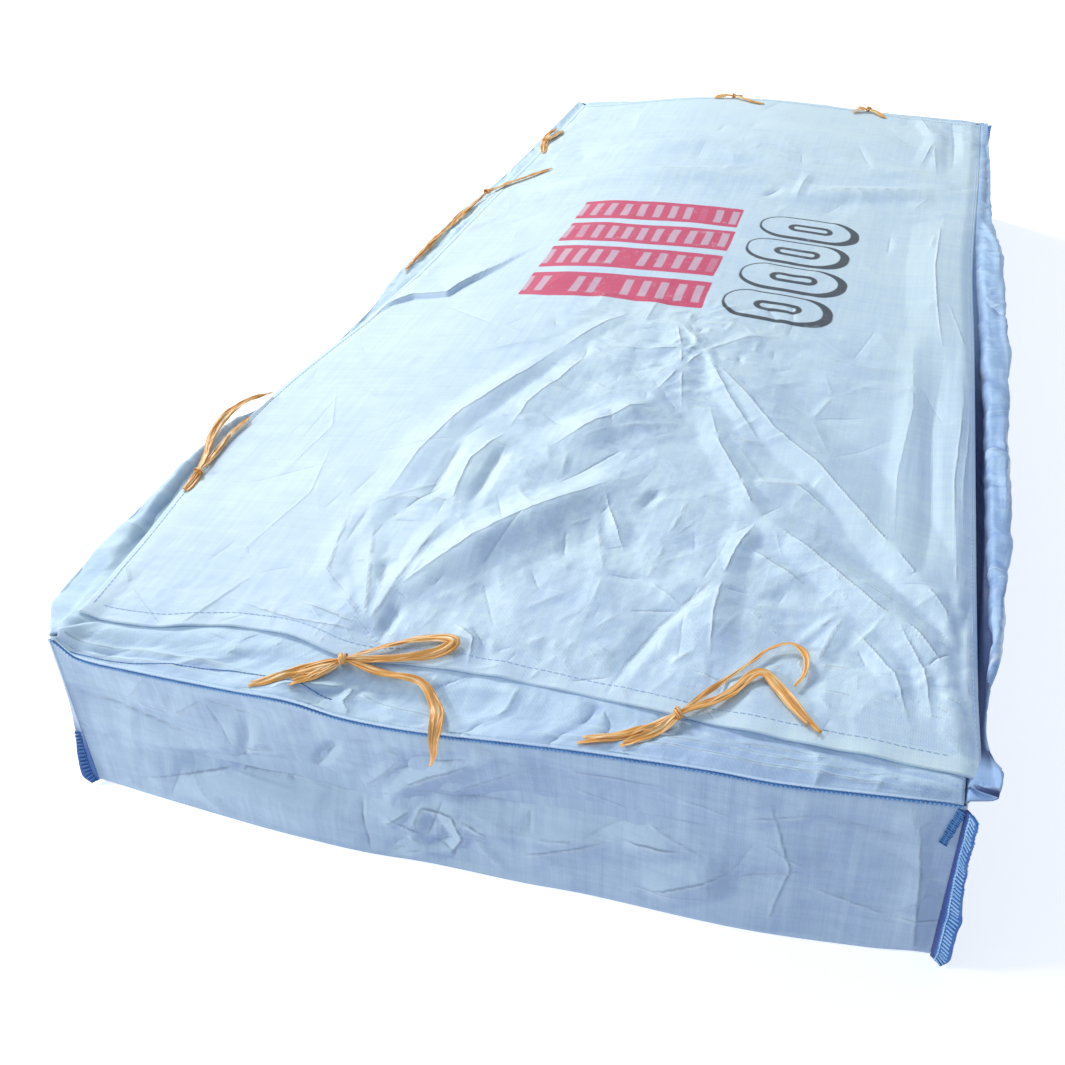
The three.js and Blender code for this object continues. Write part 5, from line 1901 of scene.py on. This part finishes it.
RIGHT_SKIRT = Skirt(
    RIGHT, "skirt_right", 27, 24, 34, 1.7, (0.32, 2.60), cleft_out=11.0, cleft_width=26.0, held_back=46.0,
    crest=Track.of((
        (0, 0.85), (0.02, 0.8), (0.045, 0.5), (0.09, 0.8), (0.2, 1), (0.6, 1), (0.7, 0.5), (0.8, 0.15),
        (1, 0.2),
    )),
    dips=Track.of((
        (0, 0.3), (0.04, 0.9), (0.1, 1), (0.36, 1), (0.46, 0.5), (0.6, 0.3), (0.7, 0.1), (1, 0.05),
    )),
    swell=Track.of((
        (0, 10), (0.012, 6), (0.042, -15), (0.07, -11), (0.11, -2), (0.15, -6), (0.2, 0), (1, 0),
    )),
    dark=0.95, step=7.0,
    creases=crease_table(
        (((20, 20), (300, 40), (620, 36)), 10, 14, 5, 0.5, 0.2),
        (((560, 60), (760, 44), (900, 54)), 10, 12, 5),
        (((880, 30), (1200, 46), (1500, 40)), 10, 14, 5),
        (((1450, 52), (1700, 36), (1900, 44)), 10, 12, 4),
        (((740, 8), (770, 60), (764, 90)), 14, 14, 6),
        (((430, 10), (446, 64), (430, 90)), 12, 14, 5),
        (((1290, 10), (1330, 50), (1320, 84)), 14, 12, 5),
    ),
)
BACK_SKIRT = Skirt(BACK, "skirt_back", 9, 30, 0, 1.0, (0.28, 1.25), step=8.0)
LEFT_SKIRT = Skirt(
    LEFT, "skirt_left", 26, 30, 14, 2.2, (0.32, 2.60), cleft_out=8.0, cleft_width=22.0,
    crest=Track.of((
        (0, 0.3), (0.1, 0.3), (0.5, 0.35), (0.62, 0.5), (0.72, 1), (0.9, 1), (0.96, 0.6), (0.985, 0.3),
        (1, 0.08),
    )),
    dips=Track.of(((0, 0.1), (0.6, 0.15), (0.68, 0.9), (0.88, 0.9), (0.93, 0.35), (1, 0.1))),
    swell=Track.of(((0, 0), (0.8, 0), (0.86, 8), (0.93, 18), (0.965, 14), (0.985, -10), (1, -18))),
    dark=0.4, step=7.0,
)


@dataclass(frozen=True)
class Ground:
    """The cloth that a tie or a stitch line lies on, felt for from above."""

    tree: BVHTree  # Search tree of the cloth's faces, in metres

    SKY = 0.6  # Height from which it is felt for, in metres

    @classmethod
    def of(cls, pieces: Sequence[Piece]) -> "Ground":
        """Return the ground that pieces of cloth give.

        Args:
            pieces: The cloth's objects.

        Returns:
            The ground.
        """
        places, faces, count = [], [], 0
        for mesh in (piece.data for piece in pieces):
            places.extend(vertex.co for vertex in mesh.vertices)
            faces.extend([count + i for i in p.vertices] for p in mesh.polygons)
            count += len(mesh.vertices)
        return cls(BVHTree.FromPolygons(places, faces))

    def below(self, x: float, y: float) -> tuple[Vector | None, Vector | None]:
        """Return the cloth's place below a point in plan and the way it faces there, or None twice."""
        return self.tree.ray_cast(Vector((x * METRES, y * METRES, self.SKY)), Vector((0, 0, -1)))[:2]

    def height(self, x: float, y: float, otherwise: float = 0.0) -> float:
        """Return the cloth's height below a place, in millimetres."""
        place, _ = self.below(x, y)
        return otherwise if place is None else place.z / METRES

    def highest(self, x: float, y: float, reach: float, otherwise: float = 0.0) -> float:
        """Return the cloth's greatest height within reach of a place.

        Args:
            x, y: The place.
            reach: Radius felt over.
            otherwise: What is returned beside the cloth.

        Returns:
            The height.
        """
        turns = np.linspace(0, 2 * math.pi, 7)[:-1]
        spots = [(x, y), *((x + reach * math.cos(a), y + reach * math.sin(a)) for a in turns)]
        return max(self.height(*spot, otherwise) for spot in spots)

    def path(self, line: Array, over: float) -> tuple[Array, Array]:
        """Lay a line on the cloth.

        Args:
            line: Its places in plan.
            over: Its height over the cloth.

        Returns:
            Its points, and the way that the cloth faces there.
        """
        points, ways = [], []
        for x, y in line:
            place, way = self.below(x, y)
            if place is not None:
                points.append([x, y, place.z / METRES + over])
                ways.append(list(way))
        return np.asarray(points), np.asarray(ways)


# Seams


@dataclass(frozen=True)
class RimSeam:
    """Overlocked seam that joins the walls to the skirts."""

    stand: float = 1.0  # How far it stands out from the wall
    # Its heavy thread
    rib: StitchRow = StitchRow(
        "rim_seam", pitch=5.4, start=(-1.7, -2.0, 0.4), end=(1.7, 2.0, 0.4), radius=0.6, rib=1.2, seed=4
    )
    # The pale stitches over it
    row: StitchRow = StitchRow(
        "rim_stitches", pitch=5.4, start=(-1.5, -2.9, 0.9), end=(1.5, 0.4, 1.0), radius=0.6, seed=9
    )
    # The stitches that hold its allowance down on the front skirt's left part
    welt: StitchRow = StitchRow(
        "welt_stitches", pitch=6.4, start=(-2.6, 0, 0.1), end=(2.6, 0, 0.1), radius=0.75, seed=11
    )

    STEP = 7.0  # Distance between the points of its path
    WELT = ((-600, -1296), (-520, -1299), (-400, -1294), (-330, -1292), (-250, -1297), (-190, -1303))

    def build(self, heavy: Thread, pale: Thread, ground: Ground) -> list[Piece]:
        """Sew the seam along the four walls' tops.

        Args:
            heavy: Finish of the heavy thread.
            pale: Finish of the stitches over it.
            ground: The cloth that the welt's stitches lie on.

        Returns:
            The seam's objects.
        """
        paths = []
        for side in SIDES:
            at = np.linspace(0.004, 0.996, int(side.run / self.STEP))
            rim, (_, outward) = side.wall(at, 1.0), side.line(at, 1.0)
            way = np.concatenate([outward, np.full((len(at), 1), 0.35)], -1)
            points = rim + np.concatenate([outward * self.stand, np.full((len(at), 1), 0.2)], -1)
            paths.append((points, way))
        thread = heavy.build()
        across = np.arange(self.WELT[0][0], self.WELT[-1][0], 6.0)
        welt = ground.path(np.stack([across, Track.of(self.WELT)(across)], -1), 0.3)
        rows = [self.rib.build(paths, thread), self.row.build(paths, pale.build())]
        return [*rows, self.welt.build([welt], thread)]


@dataclass(frozen=True)
class CornerFin:
    """Overlocked corner seam, standing out from the corner as a wavy fin."""

    name: str
    before: Side
    after: Side
    root: float = 1.0  # How much shade is painted along the corner; without it the fin is the pale one, with painted shade over its lower part
    top: float = 0.8  # Share of its width that is left at its top
    lean: float = 0.0  # How far its top leans back along the side before it, in degrees
    width: float = 27.0
    thickness: float = 3.0
    gap: float = 0.9  # Its gap from the walls
    wound: float = 0.74  # Share of its width where the thread over its edge is centred
    reach: float = 5.6  # How far that thread reaches on either hand
    until: float = 0.99  # Share of its height where its threads end
    columns: int = 10
    rows: int = 96

    # Its waves up the corner: size, how fast they follow, and start
    WAVES = ((2.0, 7, 0), (1.0, 17, 1), (0.5, 61, 0))
    THREAD = 0.3  # How far the thread lifts off its cloth
    CHAIN = 0.4  # Share of its width where its chain runs
    TUFT = ((0.997, 0.975), (0.987, 0.77))  # Ends of the front wall's tuft of thread, along and up it

    def middle(self, u: Array, v: Array) -> Array:
        """Return places of the fin's middle surface.

        Args:
            u, v: Shares of its width, from the corner outwards, and of its height.

        Returns:
            The places.
        """
        up = lerp(0.01, 0.985, v)
        outward = unit(self.before.line(1.0, up)[1] + self.after.line(0.0, up)[1])
        edge = self.after.wall(0.0, up)
        sideways = np.stack([-outward[..., 1], outward[..., 0]], -1)
        turn = np.radians(self.lean) * smoothstep(up, 0.0, 0.5)
        outward = outward * np.cos(turn)[..., None] - sideways * np.sin(turn)[..., None]
        wave = sum(size * np.sin(turns * up + start) for size, turns, start in self.WAVES)
        wide = self.width * lerp(1.0, self.top, smoothstep(up, 0.1, 0.75)) - 9 * smoothstep(up, 0.09, 0.0)
        reach = self.gap + u * (wide + wave * self.top)
        sway = u * u * (5 * np.sin(5 * up) + 1.6 * np.sin(23 * up)) + u * 0.8 * np.sin(41 * up)
        plan = edge[..., :2] + outward * reach[..., None] + sideways * sway[..., None]
        return np.concatenate([plan, (edge[..., 2] + self.thickness / 2 * (1 - v))[..., None]], -1)

    def build(self, finish: WovenCloth) -> Piece:
        """Build the fin's cloth.

        Args:
            finish: Its cloth.

        Returns:
            The fin's object.
        """
        u, v = np.meshgrid(np.linspace(0, 1, self.columns + 1), np.linspace(0, 1, self.rows + 1))
        middle = self.middle(u, v)
        normal = normals_of(middle)
        half = self.thickness / 2 - self.THREAD
        # Shade painted along the corner and at the foot; the pale fin gets it over its lower part
        gloom = 0.9 * np.maximum(smoothstep(u, 0.36, 0.16) * self.root, smoothstep(v, 0.06, 0.02))
        gloom = np.maximum(gloom, 0.9 * (1 - self.root) * smoothstep(v, 0.56, 0.2))
        marks = {"fold": np.zeros(u.shape), "crush": np.full(u.shape, 0.5), "gloom": gloom}
        cloth = np.stack([u * self.width, middle[..., 2]], -1)
        surface = closed_sheet(middle + normal * half, middle - normal * half, cloth, marks)
        return surface.make(self.name + "_cloth", finish.build())

    def stitch_paths(self, u: float) -> list[tuple[Array, Array]]:
        """Return a line up both faces of the fin.

        Args:
            u: Share of the fin's width where it runs.

        Returns:
            For each face, the line's points and the way it faces.
        """
        cross, v = np.meshgrid(np.linspace(0, 1, self.columns + 1), np.linspace(0.01, self.until, 120))
        middle = self.middle(cross, v)
        normal = normals_of(middle)
        column = int(round(u * self.columns))
        line, way = middle[:, column], normal[:, column]
        half = self.thickness / 2
        return [(line + way * half, way), (line - way * half, -way)]

    def sew(self, winding: Thread, chain: Thread) -> list[Piece]:
        """Sew the thread wound over the fin's edge and the chain along it.

        Args:
            winding: Finish of the wound thread.
            chain: Finish of the chain.

        Returns:
            The two thread pieces.
        """
        start, end = (-0.6, -self.reach, 0.4), (0.9, self.reach, 0.4)
        wraps = StitchRow(self.name + "_wraps", pitch=6.8, start=start, end=end, radius=1.5, seed=3)
        start, end = (-2.0, -1.3, 0.5), (2.0, 1.3, 0.5)
        links = StitchRow(self.name + "_chain", 5.2, start, end, radius=0.8, rib=1.1, seed=5)
        wound = wraps.build(self.stitch_paths(self.wound), winding.build())
        return [wound, links.build(self.stitch_paths(self.CHAIN), chain.build())]

    def tuft(self, thread: Thread) -> Piece:
        """Sew the tuft of thread that lies on the front wall beside the fin.

        Args:
            thread: Its finish.

        Returns:
            The tuft.
        """
        at, up = np.linspace(*self.TUFT, 12).T
        outward = FRONT.line(at, up)[1]
        way = np.concatenate([outward, np.zeros((len(at), 1))], -1)
        start, end = (-1.5, -4.8, 1.2), (2.2, 4.4, 1.4)
        row = StitchRow(self.name + "_tuft", 3.4, start, end, radius=1.5, rib=2.2, seed=8)
        return row.build([(FRONT.wall(at, up) + way * 1.2, way)], thread.build())

    def dress(self, made: Piece, threads: Sequence[Piece]) -> None:
        """Hang the fin under the root and hide the solid that it stands in for.

        Args:
            made: The mesh that build made.
            threads: The thread pieces wound along it; not used.
        """
        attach(made, ROOT)
        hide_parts(self.name)
        flat = (0.003 + self.width * METRES * (0.42 + 0.58 * self.top), 0.27)


# Only the lower part of the near left fin shows
FINS = (
    CornerFin(
        "fin_front_left", LEFT, FRONT, root=0.0, top=0.22, lean=62.0, width=21.0, gap=-1.4, wound=0.55,
        reach=5.0, until=0.36,
    ),
    CornerFin("fin_front_right", FRONT, RIGHT, top=0.86),
    CornerFin("fin_back_right", RIGHT, BACK),
    CornerFin("fin_back_left", BACK, LEFT),
)


# Ties


@dataclass(frozen=True)
class Strand:
    """One flat strand of a tie, from its knot."""

    # Places in plan with a lift over the cloth, or a fixed height as a fourth number
    points: tuple[tuple[float, ...], ...]
    loop: bool = False  # Whether it comes back to the knot
    share: float = 1.0  # Its width against the others'; a narrow strand is a single ribbon


@dataclass(frozen=True)
class Tie:
    """Knotted tape tie of a few crumpled strands."""

    name: str
    x: float
    y: float
    turn: float  # The knot's direction, in degrees
    strands: tuple[Strand, ...]
    ribbon: float = 12.5  # Width of a split ribbon
    ribbons: int = 2  # Ribbons in a strand
    seed: int = 1

    STEP = 4.0  # Distance between the points along a strand
    CLEAR = 0.9  # Least gap over the cloth
    THICK = 0.45  # Thickness of the tape
    # Turns and points of a ribbon round the knot, the knot's half width and half height
    KNOT_TURNS, KNOT_POINTS = 1.3, 40
    KNOT_WIDTH, KNOT_HEIGHT = 7.4, 4.6
    COLUMNS = 10  # Points across a ribbon
    SWAY = 1.8  # How far it strays to the sides
    TWIST = (0.32, 0.14)  # Its slow and its quick twist, in radians

    def route(self, strand: Strand, ground: Ground) -> Array:
        """Return a strand's smooth centre line.

        Args:
            strand: The strand.
            ground: The cloth it lies on.

        Returns:
            Its points, a step apart.
        """
        knot = ground.highest(self.x, self.y, 8) + 7
        stops = [[self.x, self.y, knot]]
        for x, y, *rest in strand.points:
            lift = rest[0] if rest else 0.0
            stops.append([x, y, rest[1] if len(rest) == 2 else ground.highest(x, y, 6) + 2 + lift])
        if strand.loop:
            stops.append([self.x, self.y, knot])
        p = np.asarray(stops)
        p = np.concatenate([[2 * p[0] - p[1]], p, [2 * p[-1] - p[-2]]])
        curve = []
        for i in range(1, len(p) - 2):
            span = float(np.linalg.norm(p[i + 1] - p[i]))
            t = np.linspace(0, 1, max(int(span / self.STEP), 2), endpoint=False)[:, None]
            a, b, c, d = p[i - 1], p[i], p[i + 1], p[i + 2]
            bend, turn = 2 * a - 5 * b + 4 * c - d, 3 * b - a - 3 * c + d
            curve.append(0.5 * (2 * b + (c - a) * t + bend * t**2 + turn * t**3))
        return np.concatenate([*curve, p[-2:-1]])

    def band(
        self,
        line: Array,
        shift: float,
        rng: np.random.Generator,
        ground: Ground | None,
        width: float,
        loop: bool,
    ) -> tuple[Array, Array, float]:
        """Return a crumpled ribbon's section points along a line.

        Args:
            line: The strand's centre line.
            shift: How far to the side the ribbon runs.
            rng: Source of its crumpling.
            ground: The cloth to keep clear of, or None where a ribbon winds round the knot.
            width: The ribbon's width.
            loop: Whether both its ends are in the knot.

        Returns:
            Grid of upper points, grid of lower points, and the ribbon's length.
        """
        n = len(line)
        tangent = unit(np.gradient(line, axis=0))
        side = np.cross(tangent, [0, 0, 1.0])
        for i in range(n):
            carried = side[i] if i == 0 else side[i - 1] - tangent[i] * np.dot(side[i - 1], tangent[i])
            side[i] = carried / max(float(np.linalg.norm(carried)), 1e-6)
        up = np.cross(side, tangent)
        s = np.concatenate([[0], np.cumsum(np.linalg.norm(np.diff(line, axis=0), axis=-1))])
        far = s / max(s[-1], 1e-6)
        phase = rng.uniform(0, 6.28, 6)
        free = smoothstep(np.minimum(far, 1 - far) if loop else far, 0, 0.2)
        sway = self.SWAY * np.sin(s / rng.uniform(22, 40) + phase[0]) * free
        across = shift * (0.25 + 0.75 * free) + sway
        slow, quick = self.TWIST
        twist = slow * np.sin(s / rng.uniform(30, 52) + phase[1]) + quick * np.sin(s / 13.0 + phase[2])
        wide = width * (0.82 + 0.18 * np.sin(s / rng.uniform(24, 44) + phase[3])) * (0.55 + 0.45 * free)
        if not loop:
            wide = wide * (1 - 0.5 * smoothstep(far, 0.78, 1.0))
        # Each row of points is turned by the twist, and pleated across the ribbon
        columns = np.linspace(-0.5, 0.5, self.COLUMNS)
        upper, lower = [], []
        for i in range(n):
            c, d = math.cos(twist[i]), math.sin(twist[i])
            a, b = side[i] * c + up[i] * d, up[i] * c - side[i] * d
            pleats = 0.07 * wide[i] * np.sin(columns * 9.5 + phase[4] + s[i] / 60.0)
            pleats = pleats + 0.5 * np.sin(s[i] / 6.5 + columns * 4 + phase[5])
            centre = line[i] + side[i] * across[i]
            row = centre + np.outer(columns * wide[i], a) + np.outer(pleats, b)
            upper.append(row + b * self.THICK / 2)
            lower.append(row - b * self.THICK / 2)
        upper, lower = np.asarray(upper), np.asarray(lower)
        if ground is not None:
            for high, low in zip(upper, lower):
                under = max(ground.height(x, y, -1e3) for x, y, _ in low[::3])
                short = max(under + self.CLEAR - min(low[:, 2].min(), high[:, 2].min()), 0.0)
                high[:, 2] += short
                low[:, 2] += short
        return upper, lower, float(s[-1])

    def build(self, finish: Material, ground: Ground) -> tuple[Piece, float]:
        """Build the tie.

        Args:
            finish: The tape's material.
            ground: The cloth it lies on.

        Returns:
            The tie's object, and its tape's flat area in square metres.
        """
        rng = np.random.default_rng(self.seed)
        parts, area = [], 0.0
        for strand in self.strands:
            line = self.route(strand, ground)
            for k in range(self.ribbons if strand.share == 1 else 1):
                shift = (k - (self.ribbons - 1) / 2) * self.ribbon * 0.42 * strand.share + rng.uniform(-1, 1)
                drop = 1.0 if strand.loop or k == 0 else rng.uniform(0.94, 1.0)
                part = line[: max(int(len(line) * drop), 4)] + np.array([0, 0, 0.9 * k])
                width = self.ribbon * strand.share * rng.uniform(0.85, 1.15)
                upper, lower, length = self.band(part, shift, rng, ground, width, strand.loop)
                parts.append((upper, lower))
                area += width * 0.86 * length
        knot = ground.highest(self.x, self.y, 8) + 5.5
        turn = math.radians(self.turn)
        way = np.array([math.cos(turn), math.sin(turn), 0])
        aside = np.array([-math.sin(turn), math.cos(turn), 0])
        for k in range(2):
            angle = np.linspace(0, 2 * math.pi * self.KNOT_TURNS, self.KNOT_POINTS) + rng.uniform(0, 6)
            slide = np.linspace(-3, 3, self.KNOT_POINTS) * rng.uniform(0.6, 1) + (k - 0.5) * 3.4
            line = np.array([self.x, self.y, knot]) + np.outer(slide, way)
            line = line + np.outer(np.cos(angle) * (self.KNOT_WIDTH + k), aside)
            line = line + np.outer(np.sin(angle) * (self.KNOT_HEIGHT + 0.5 * k), [0, 0, 1])
            upper, lower, length = self.band(line, 0, rng, None, self.ribbon * 0.6, False)
            short = max(ground.highest(self.x, self.y, 9) + self.CLEAR - lower[..., 2].min(), 0.0)
            lift = np.array([0, 0, short])
            parts.append((upper + lift, lower + lift))
            area += self.ribbon * 0.5 * length
        return self.assemble(parts).make(self.name + "_tape", finish), area * METRES * METRES

    @staticmethod
    def assemble(parts: Sequence[tuple[Array, Array]]) -> Surface:
        """Join ribbons into one surface.

        Args:
            parts: Upper and lower grids of the ribbons.

        Returns:
            The joined surface.
        """
        places, faces, cloth, count = [], [], [], 0
        for k, (upper, lower) in enumerate(parts):
            rows, columns = upper.shape[:2]
            v, u = np.meshgrid(np.arange(rows) * Tie.STEP, np.linspace(0, 13, columns), indexing="ij")
            spread = np.stack([u + 17.0 * k, v], -1)
            ribbon = closed_sheet(upper, lower, spread, {})
            places.append(ribbon.places)
            cloth.append(ribbon.cloth)
            faces.extend(tuple(count + i for i in f) for f in ribbon.faces)
            count += len(ribbon.places)
        return Surface(np.concatenate(places), faces, np.concatenate(cloth))

    def dress(self, made: Piece, area: float) -> None:
        """Hang the tie under the root and hide the solid that it stands in for.

        Args:
            made: The mesh that build made.
            area: Flat area of its tape, in square metres.
        """
        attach(made, ROOT)
        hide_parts(self.name)
        width = max(self.ribbon * METRES, 0.0101)
        area / width


def tie(name: str, x: float, y: float, turn: float, *strands: Strand, seed: int) -> Tie:
    """Return a tie of the strands given."""
    return Tie(name, x, y, turn, strands, seed=seed)


TIES = (
    tie(
        "tie_front_left", -197, -1246, 25,
        Strand(((-250, -1276), (-282, -1302), (-304, -1316))),
        Strand(((-228, -1280), (-248, -1308))),
        Strand(
            ((-140, -1208, 5), (-82, -1186, 5), (-56, -1190, 7), (-72, -1210, 5), (-120, -1228, 5)), loop=True
        ),
        Strand(
            ((-140, -1250, 5), (-80, -1256, 4), (-46, -1286, 4), (-32, -1318, 6), (-29, -1341, 0, 275),
             (-31, -1345, 0, 250), (-40, -1340, 0, 226))
        ),
        seed=11,
    ),
    tie(
        "tie_front_right", 273, -1254, 40,
        Strand(((245, -1274), (206, -1300), (156, -1316))),
        Strand(((256, -1284), (232, -1306), (212, -1316))),
        Strand(
            ((312, -1196, 4), (346, -1142, 5), (364, -1112, 7), (392, -1098, 9), (412, -1116, 8),
             (414, -1146, 5), (404, -1170, 3)), share=0.72
        ),
        Strand(((326, -1206, 4), (360, -1160, 5), (388, -1182, 3), (418, -1216, 2), (448, -1248, 2))),
        seed=12,
    ),
    tie(
        "tie_left_near", -650, -868, 80,
        Strand(((-648, -894), (-646, -918))),
        Strand((
            (-668, -810, 8), (-684, -756, 10), (-688, -700, 0, 309), (-678, -640, 0, 305), (-660, -590, 4)
        )),
        Strand(((-654, -800, 4), (-662, -740, 5), (-656, -680, 3))),
        seed=13,
    ),
    tie(
        "tie_left_middle", -628, 506, 60,
        Strand(((-640, 340, 3), (-644, 180, 4), (-646, 80, 4), (-640, -10, 2))),
        Strand(((-592, 560, 3), (-552, 610, 2), (-500, 668))),
        seed=14,
    ),
    tie(
        "tie_left_far", -594, 900, 75,
        Strand(((-582, 850), (-572, 800))),
        Strand(((-606, 960, 6), (-602, 1030, 3))),
        Strand(((-582, 956, 3), (-572, 1004))),
        seed=15,
    ),
    tie(
        "tie_back_left", -118, 1284, 10,
        Strand(((-150, 1276, 4), (-178, 1270))),
        Strand(((-92, 1266, 4), (-58, 1240, 2), (-20, 1222))),
        Strand(((-108, 1300, 5), (-90, 1308, 3))),
        seed=16,
    ),
    tie(
        "tie_back_right", 282, 1278, -40,
        Strand(((264, 1292, 5), (246, 1300, 4))),
        Strand(((308, 1260, 4), (334, 1234))),
        Strand(((256, 1264, 4), (238, 1242))),
        seed=17,
    ),
)


# The setting


@dataclass(frozen=True)
class Floor:
    """Plain pale floor under the bag."""

    reach: float = 14.0  # From its middle to its edges, in metres

    def build(self) -> None:
        """Lay the floor under the bag."""
        mesh = bpy.data.meshes.new("floor")
        r = self.reach
        mesh.from_pydata([(-r, -r, 0), (r, -r, 0), (r, r, 0), (-r, r, 0)], [], [(0, 1, 2, 3)])
        mesh.materials.append(PaleFloor().build())
        floor = link("floor", mesh)


@dataclass(frozen=True)
class StudioLight:
    """Plain soft studio light: a pale surround, a large lamp high on the left and a weak one in front."""

    surround: Colour = (0.76, 0.87, 1.0)  # Colour of the light from all round
    strength: float = 0.56  # Its strength
    # Power in watts, size, and place in metres of each lamp
    lamps: tuple[tuple[float, float, tuple[float, float, float]], ...] = (
        (405.0, 2.0, (-5.2, 4.2, 5.0)),
        (150.0, 1.2, (-5.2, -3.0, 2.4)),
    )

    GLOW = (0.98, 1.0, 0.99)  # The lamps' colour
    AIM = (0, -0.3, 0.2)  # Where they point

    def build(self) -> None:
        """Set the world and hang the lamps."""
        world = bpy.data.worlds.new("surround")
        world.use_nodes = True
        light = world.node_tree.nodes["Background"]
        light.inputs["Color"].default_value = (*self.surround, 1.0)
        light.inputs["Strength"].default_value = self.strength
        bpy.context.scene.world = world
        for power, size, place in self.lamps:
            lamp = bpy.data.lights.new("lamp", "AREA")
            lamp.shape, lamp.size, lamp.energy, lamp.color = "DISK", size, power, self.GLOW
            hung = link("lamp", lamp)
            hung.location = place
            hung.rotation_euler = (Vector(self.AIM) - Vector(place)).to_track_quat("-Z", "Y").to_euler()
        bpy.context.scene.view_settings.view_transform = "Standard"


@dataclass(frozen=True)
class PhotoCamera:
    """Camera at the photograph's viewing angle."""

    place: tuple[float, float, float] = (0.511, -2.32, 1.397)  # In metres
    azimuth: float = 16.4  # How far it looks to the left of +Y, in degrees
    pitch: float = 33.82  # How far it looks down
    roll: float = -2.29  # How far it is turned about its axis
    focal: float = 1199.3  # Focal length in pixels of the photograph
    middle: Point = (612.1, 480.2)  # Where its axis meets the photograph, in pixels

    SENSOR = 36.0  # Width of its sensor

    def build(self) -> None:
        """Make the scene's camera."""
        az, p, r = (math.radians(a) for a in (self.azimuth, self.pitch, self.roll))
        ahead = Vector((-math.sin(az) * math.cos(p), math.cos(az) * math.cos(p), -math.sin(p)))
        right = Vector((math.cos(az), math.sin(az), 0))
        up = right.cross(ahead)
        x = right * math.cos(r) + up * math.sin(r)
        y = -right * math.sin(r) + up * math.cos(r)
        data = bpy.data.cameras.new("camera")
        data.sensor_width = self.SENSOR
        data.lens = self.focal * self.SENSOR / PHOTO_SIDE
        data.shift_x = (PHOTO_SIDE / 2 - self.middle[0]) / PHOTO_SIDE
        data.shift_y = (self.middle[1] - PHOTO_SIDE / 2) / PHOTO_SIDE
        camera = link("camera", data)
        turn = Matrix((x, y, -ahead)).transposed().to_4x4()
        camera.matrix_world = Matrix.Translation(self.place) @ turn
        bpy.context.scene.camera = camera


# The finishes in use, and the hem's stitches

# A darker copy of the cloth that paints shade on the walls
SHADED_WALL_CLOTH = WovenCloth(
    "wall_cloth", (0.415, 0.545, 0.69), (0.26, 0.365, 0.56), streak=0.5, glint=0.15, shadow_line_and_ridge=0.9, pen=1.8
)
SKIRT_CLOTH = WovenCloth("skirt_cloth", (0.62, 0.79, 0.90), (0.42, 0.56, 0.80), glint=0.25, shadow_line_and_ridge=0.9)
# A darker copy of the skirt cloth that paints shade on the right roll
SHADED_CLOTH = WovenCloth("shaded_cloth", (0.48, 0.65, 0.86), (0.25, 0.40, 0.70), gloom=(0.018, 0.04, 0.16))
LID_CLOTH = PrintedCloth("lid_cloth", (0.73, 0.875, 0.92), (0.50, 0.645, 0.89), shift=0.04)
FIN_CLOTH = WovenCloth(
    "fin_cloth", (0.07, 0.24, 0.56), (0.03, 0.11, 0.42), streak=0.8, gloom=(0.012, 0.03, 0.2)
)
PALE_FIN = WovenCloth("pale_fin", (0.56, 0.66, 0.80), (0.36, 0.46, 0.64), gloom=(0.03, 0.12, 0.42))
BLUE = Thread("blue_thread", (0.09, 0.27, 0.58), (0.03, 0.11, 0.34))
SEAM_BLUE = Thread("seam_blue_thread", (0.30, 0.55, 0.86), (0.12, 0.32, 0.66))
NAVY = Thread("navy_thread", (0.04, 0.14, 0.46), (0.01, 0.05, 0.26))
LIGHT_BLUE = Thread("light_blue_thread", (0.50, 0.72, 0.92), (0.14, 0.36, 0.70))
PALE = Thread("pale_thread", (0.62, 0.76, 0.93), (0.36, 0.52, 0.80))
HEM_ROW = StitchRow("hem_stitches", 9.5, (-3.2, 0, 0.2), (3.2, 0, 0.2), radius=0.55, seed=7)


def say(*made: Piece) -> None:
    """Log how many faces pieces have."""
    for piece in made:
        log.info("%s: %d faces", piece.name, len(piece.data.polygons))


def main() -> None:
    """Build and dress the bag piece by piece."""
    logging.basicConfig(level=logging.INFO, format="%(name)s: %(message)s", stream=sys.stdout)
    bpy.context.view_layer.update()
    PhotoCamera().build()
    StudioLight().build()
    Floor().build()

    tray = Tray()
    made = tray.build(SHADED_WALL_CLOTH)
    tray.dress(made)
    say(made)

    lid = Lid()
    covers = []
    for skirt in (FRONT_SKIRT, RIGHT_SKIRT, BACK_SKIRT, LEFT_SKIRT):
        made = skirt.build(SHADED_CLOTH if skirt is RIGHT_SKIRT else SKIRT_CLOTH, lid)
        skirt.dress(made)
        covers.append(made)

    sheet = lid.build(LID_CLOTH)
    ground = Ground.of([sheet, *covers])
    hem = HEM_ROW.build(lid.hem_paths(ground), PALE.build())
    lid.dress(sheet, hem)
    say(*covers, sheet, hem)

    for seam in RimSeam().build(BLUE, SEAM_BLUE, ground):
        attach(seam, ROOT)
        say(seam)

    for fin in FINS:
        made = fin.build(FIN_CLOTH if fin.root else PALE_FIN)
        winding, chain = (LIGHT_BLUE, LIGHT_BLUE) if fin.root else (BLUE, NAVY)
        threads = fin.sew(winding, chain)
        if fin.name == "fin_front_right":
            threads.append(fin.tuft(BLUE))
        for thread in threads:
            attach(thread, ROOT)
        fin.dress(made, threads)
        say(made, *threads)

    tape = OrangeTape("orange_tape").build()
    for tie in TIES:
        made, area = tie.build(tape, ground)
        tie.dress(made, area)
        log.info("%s: %d faces, %.4f m2 of tape", tie.name, len(made.data.polygons), area)


if __name__ == "__main__":
    main()
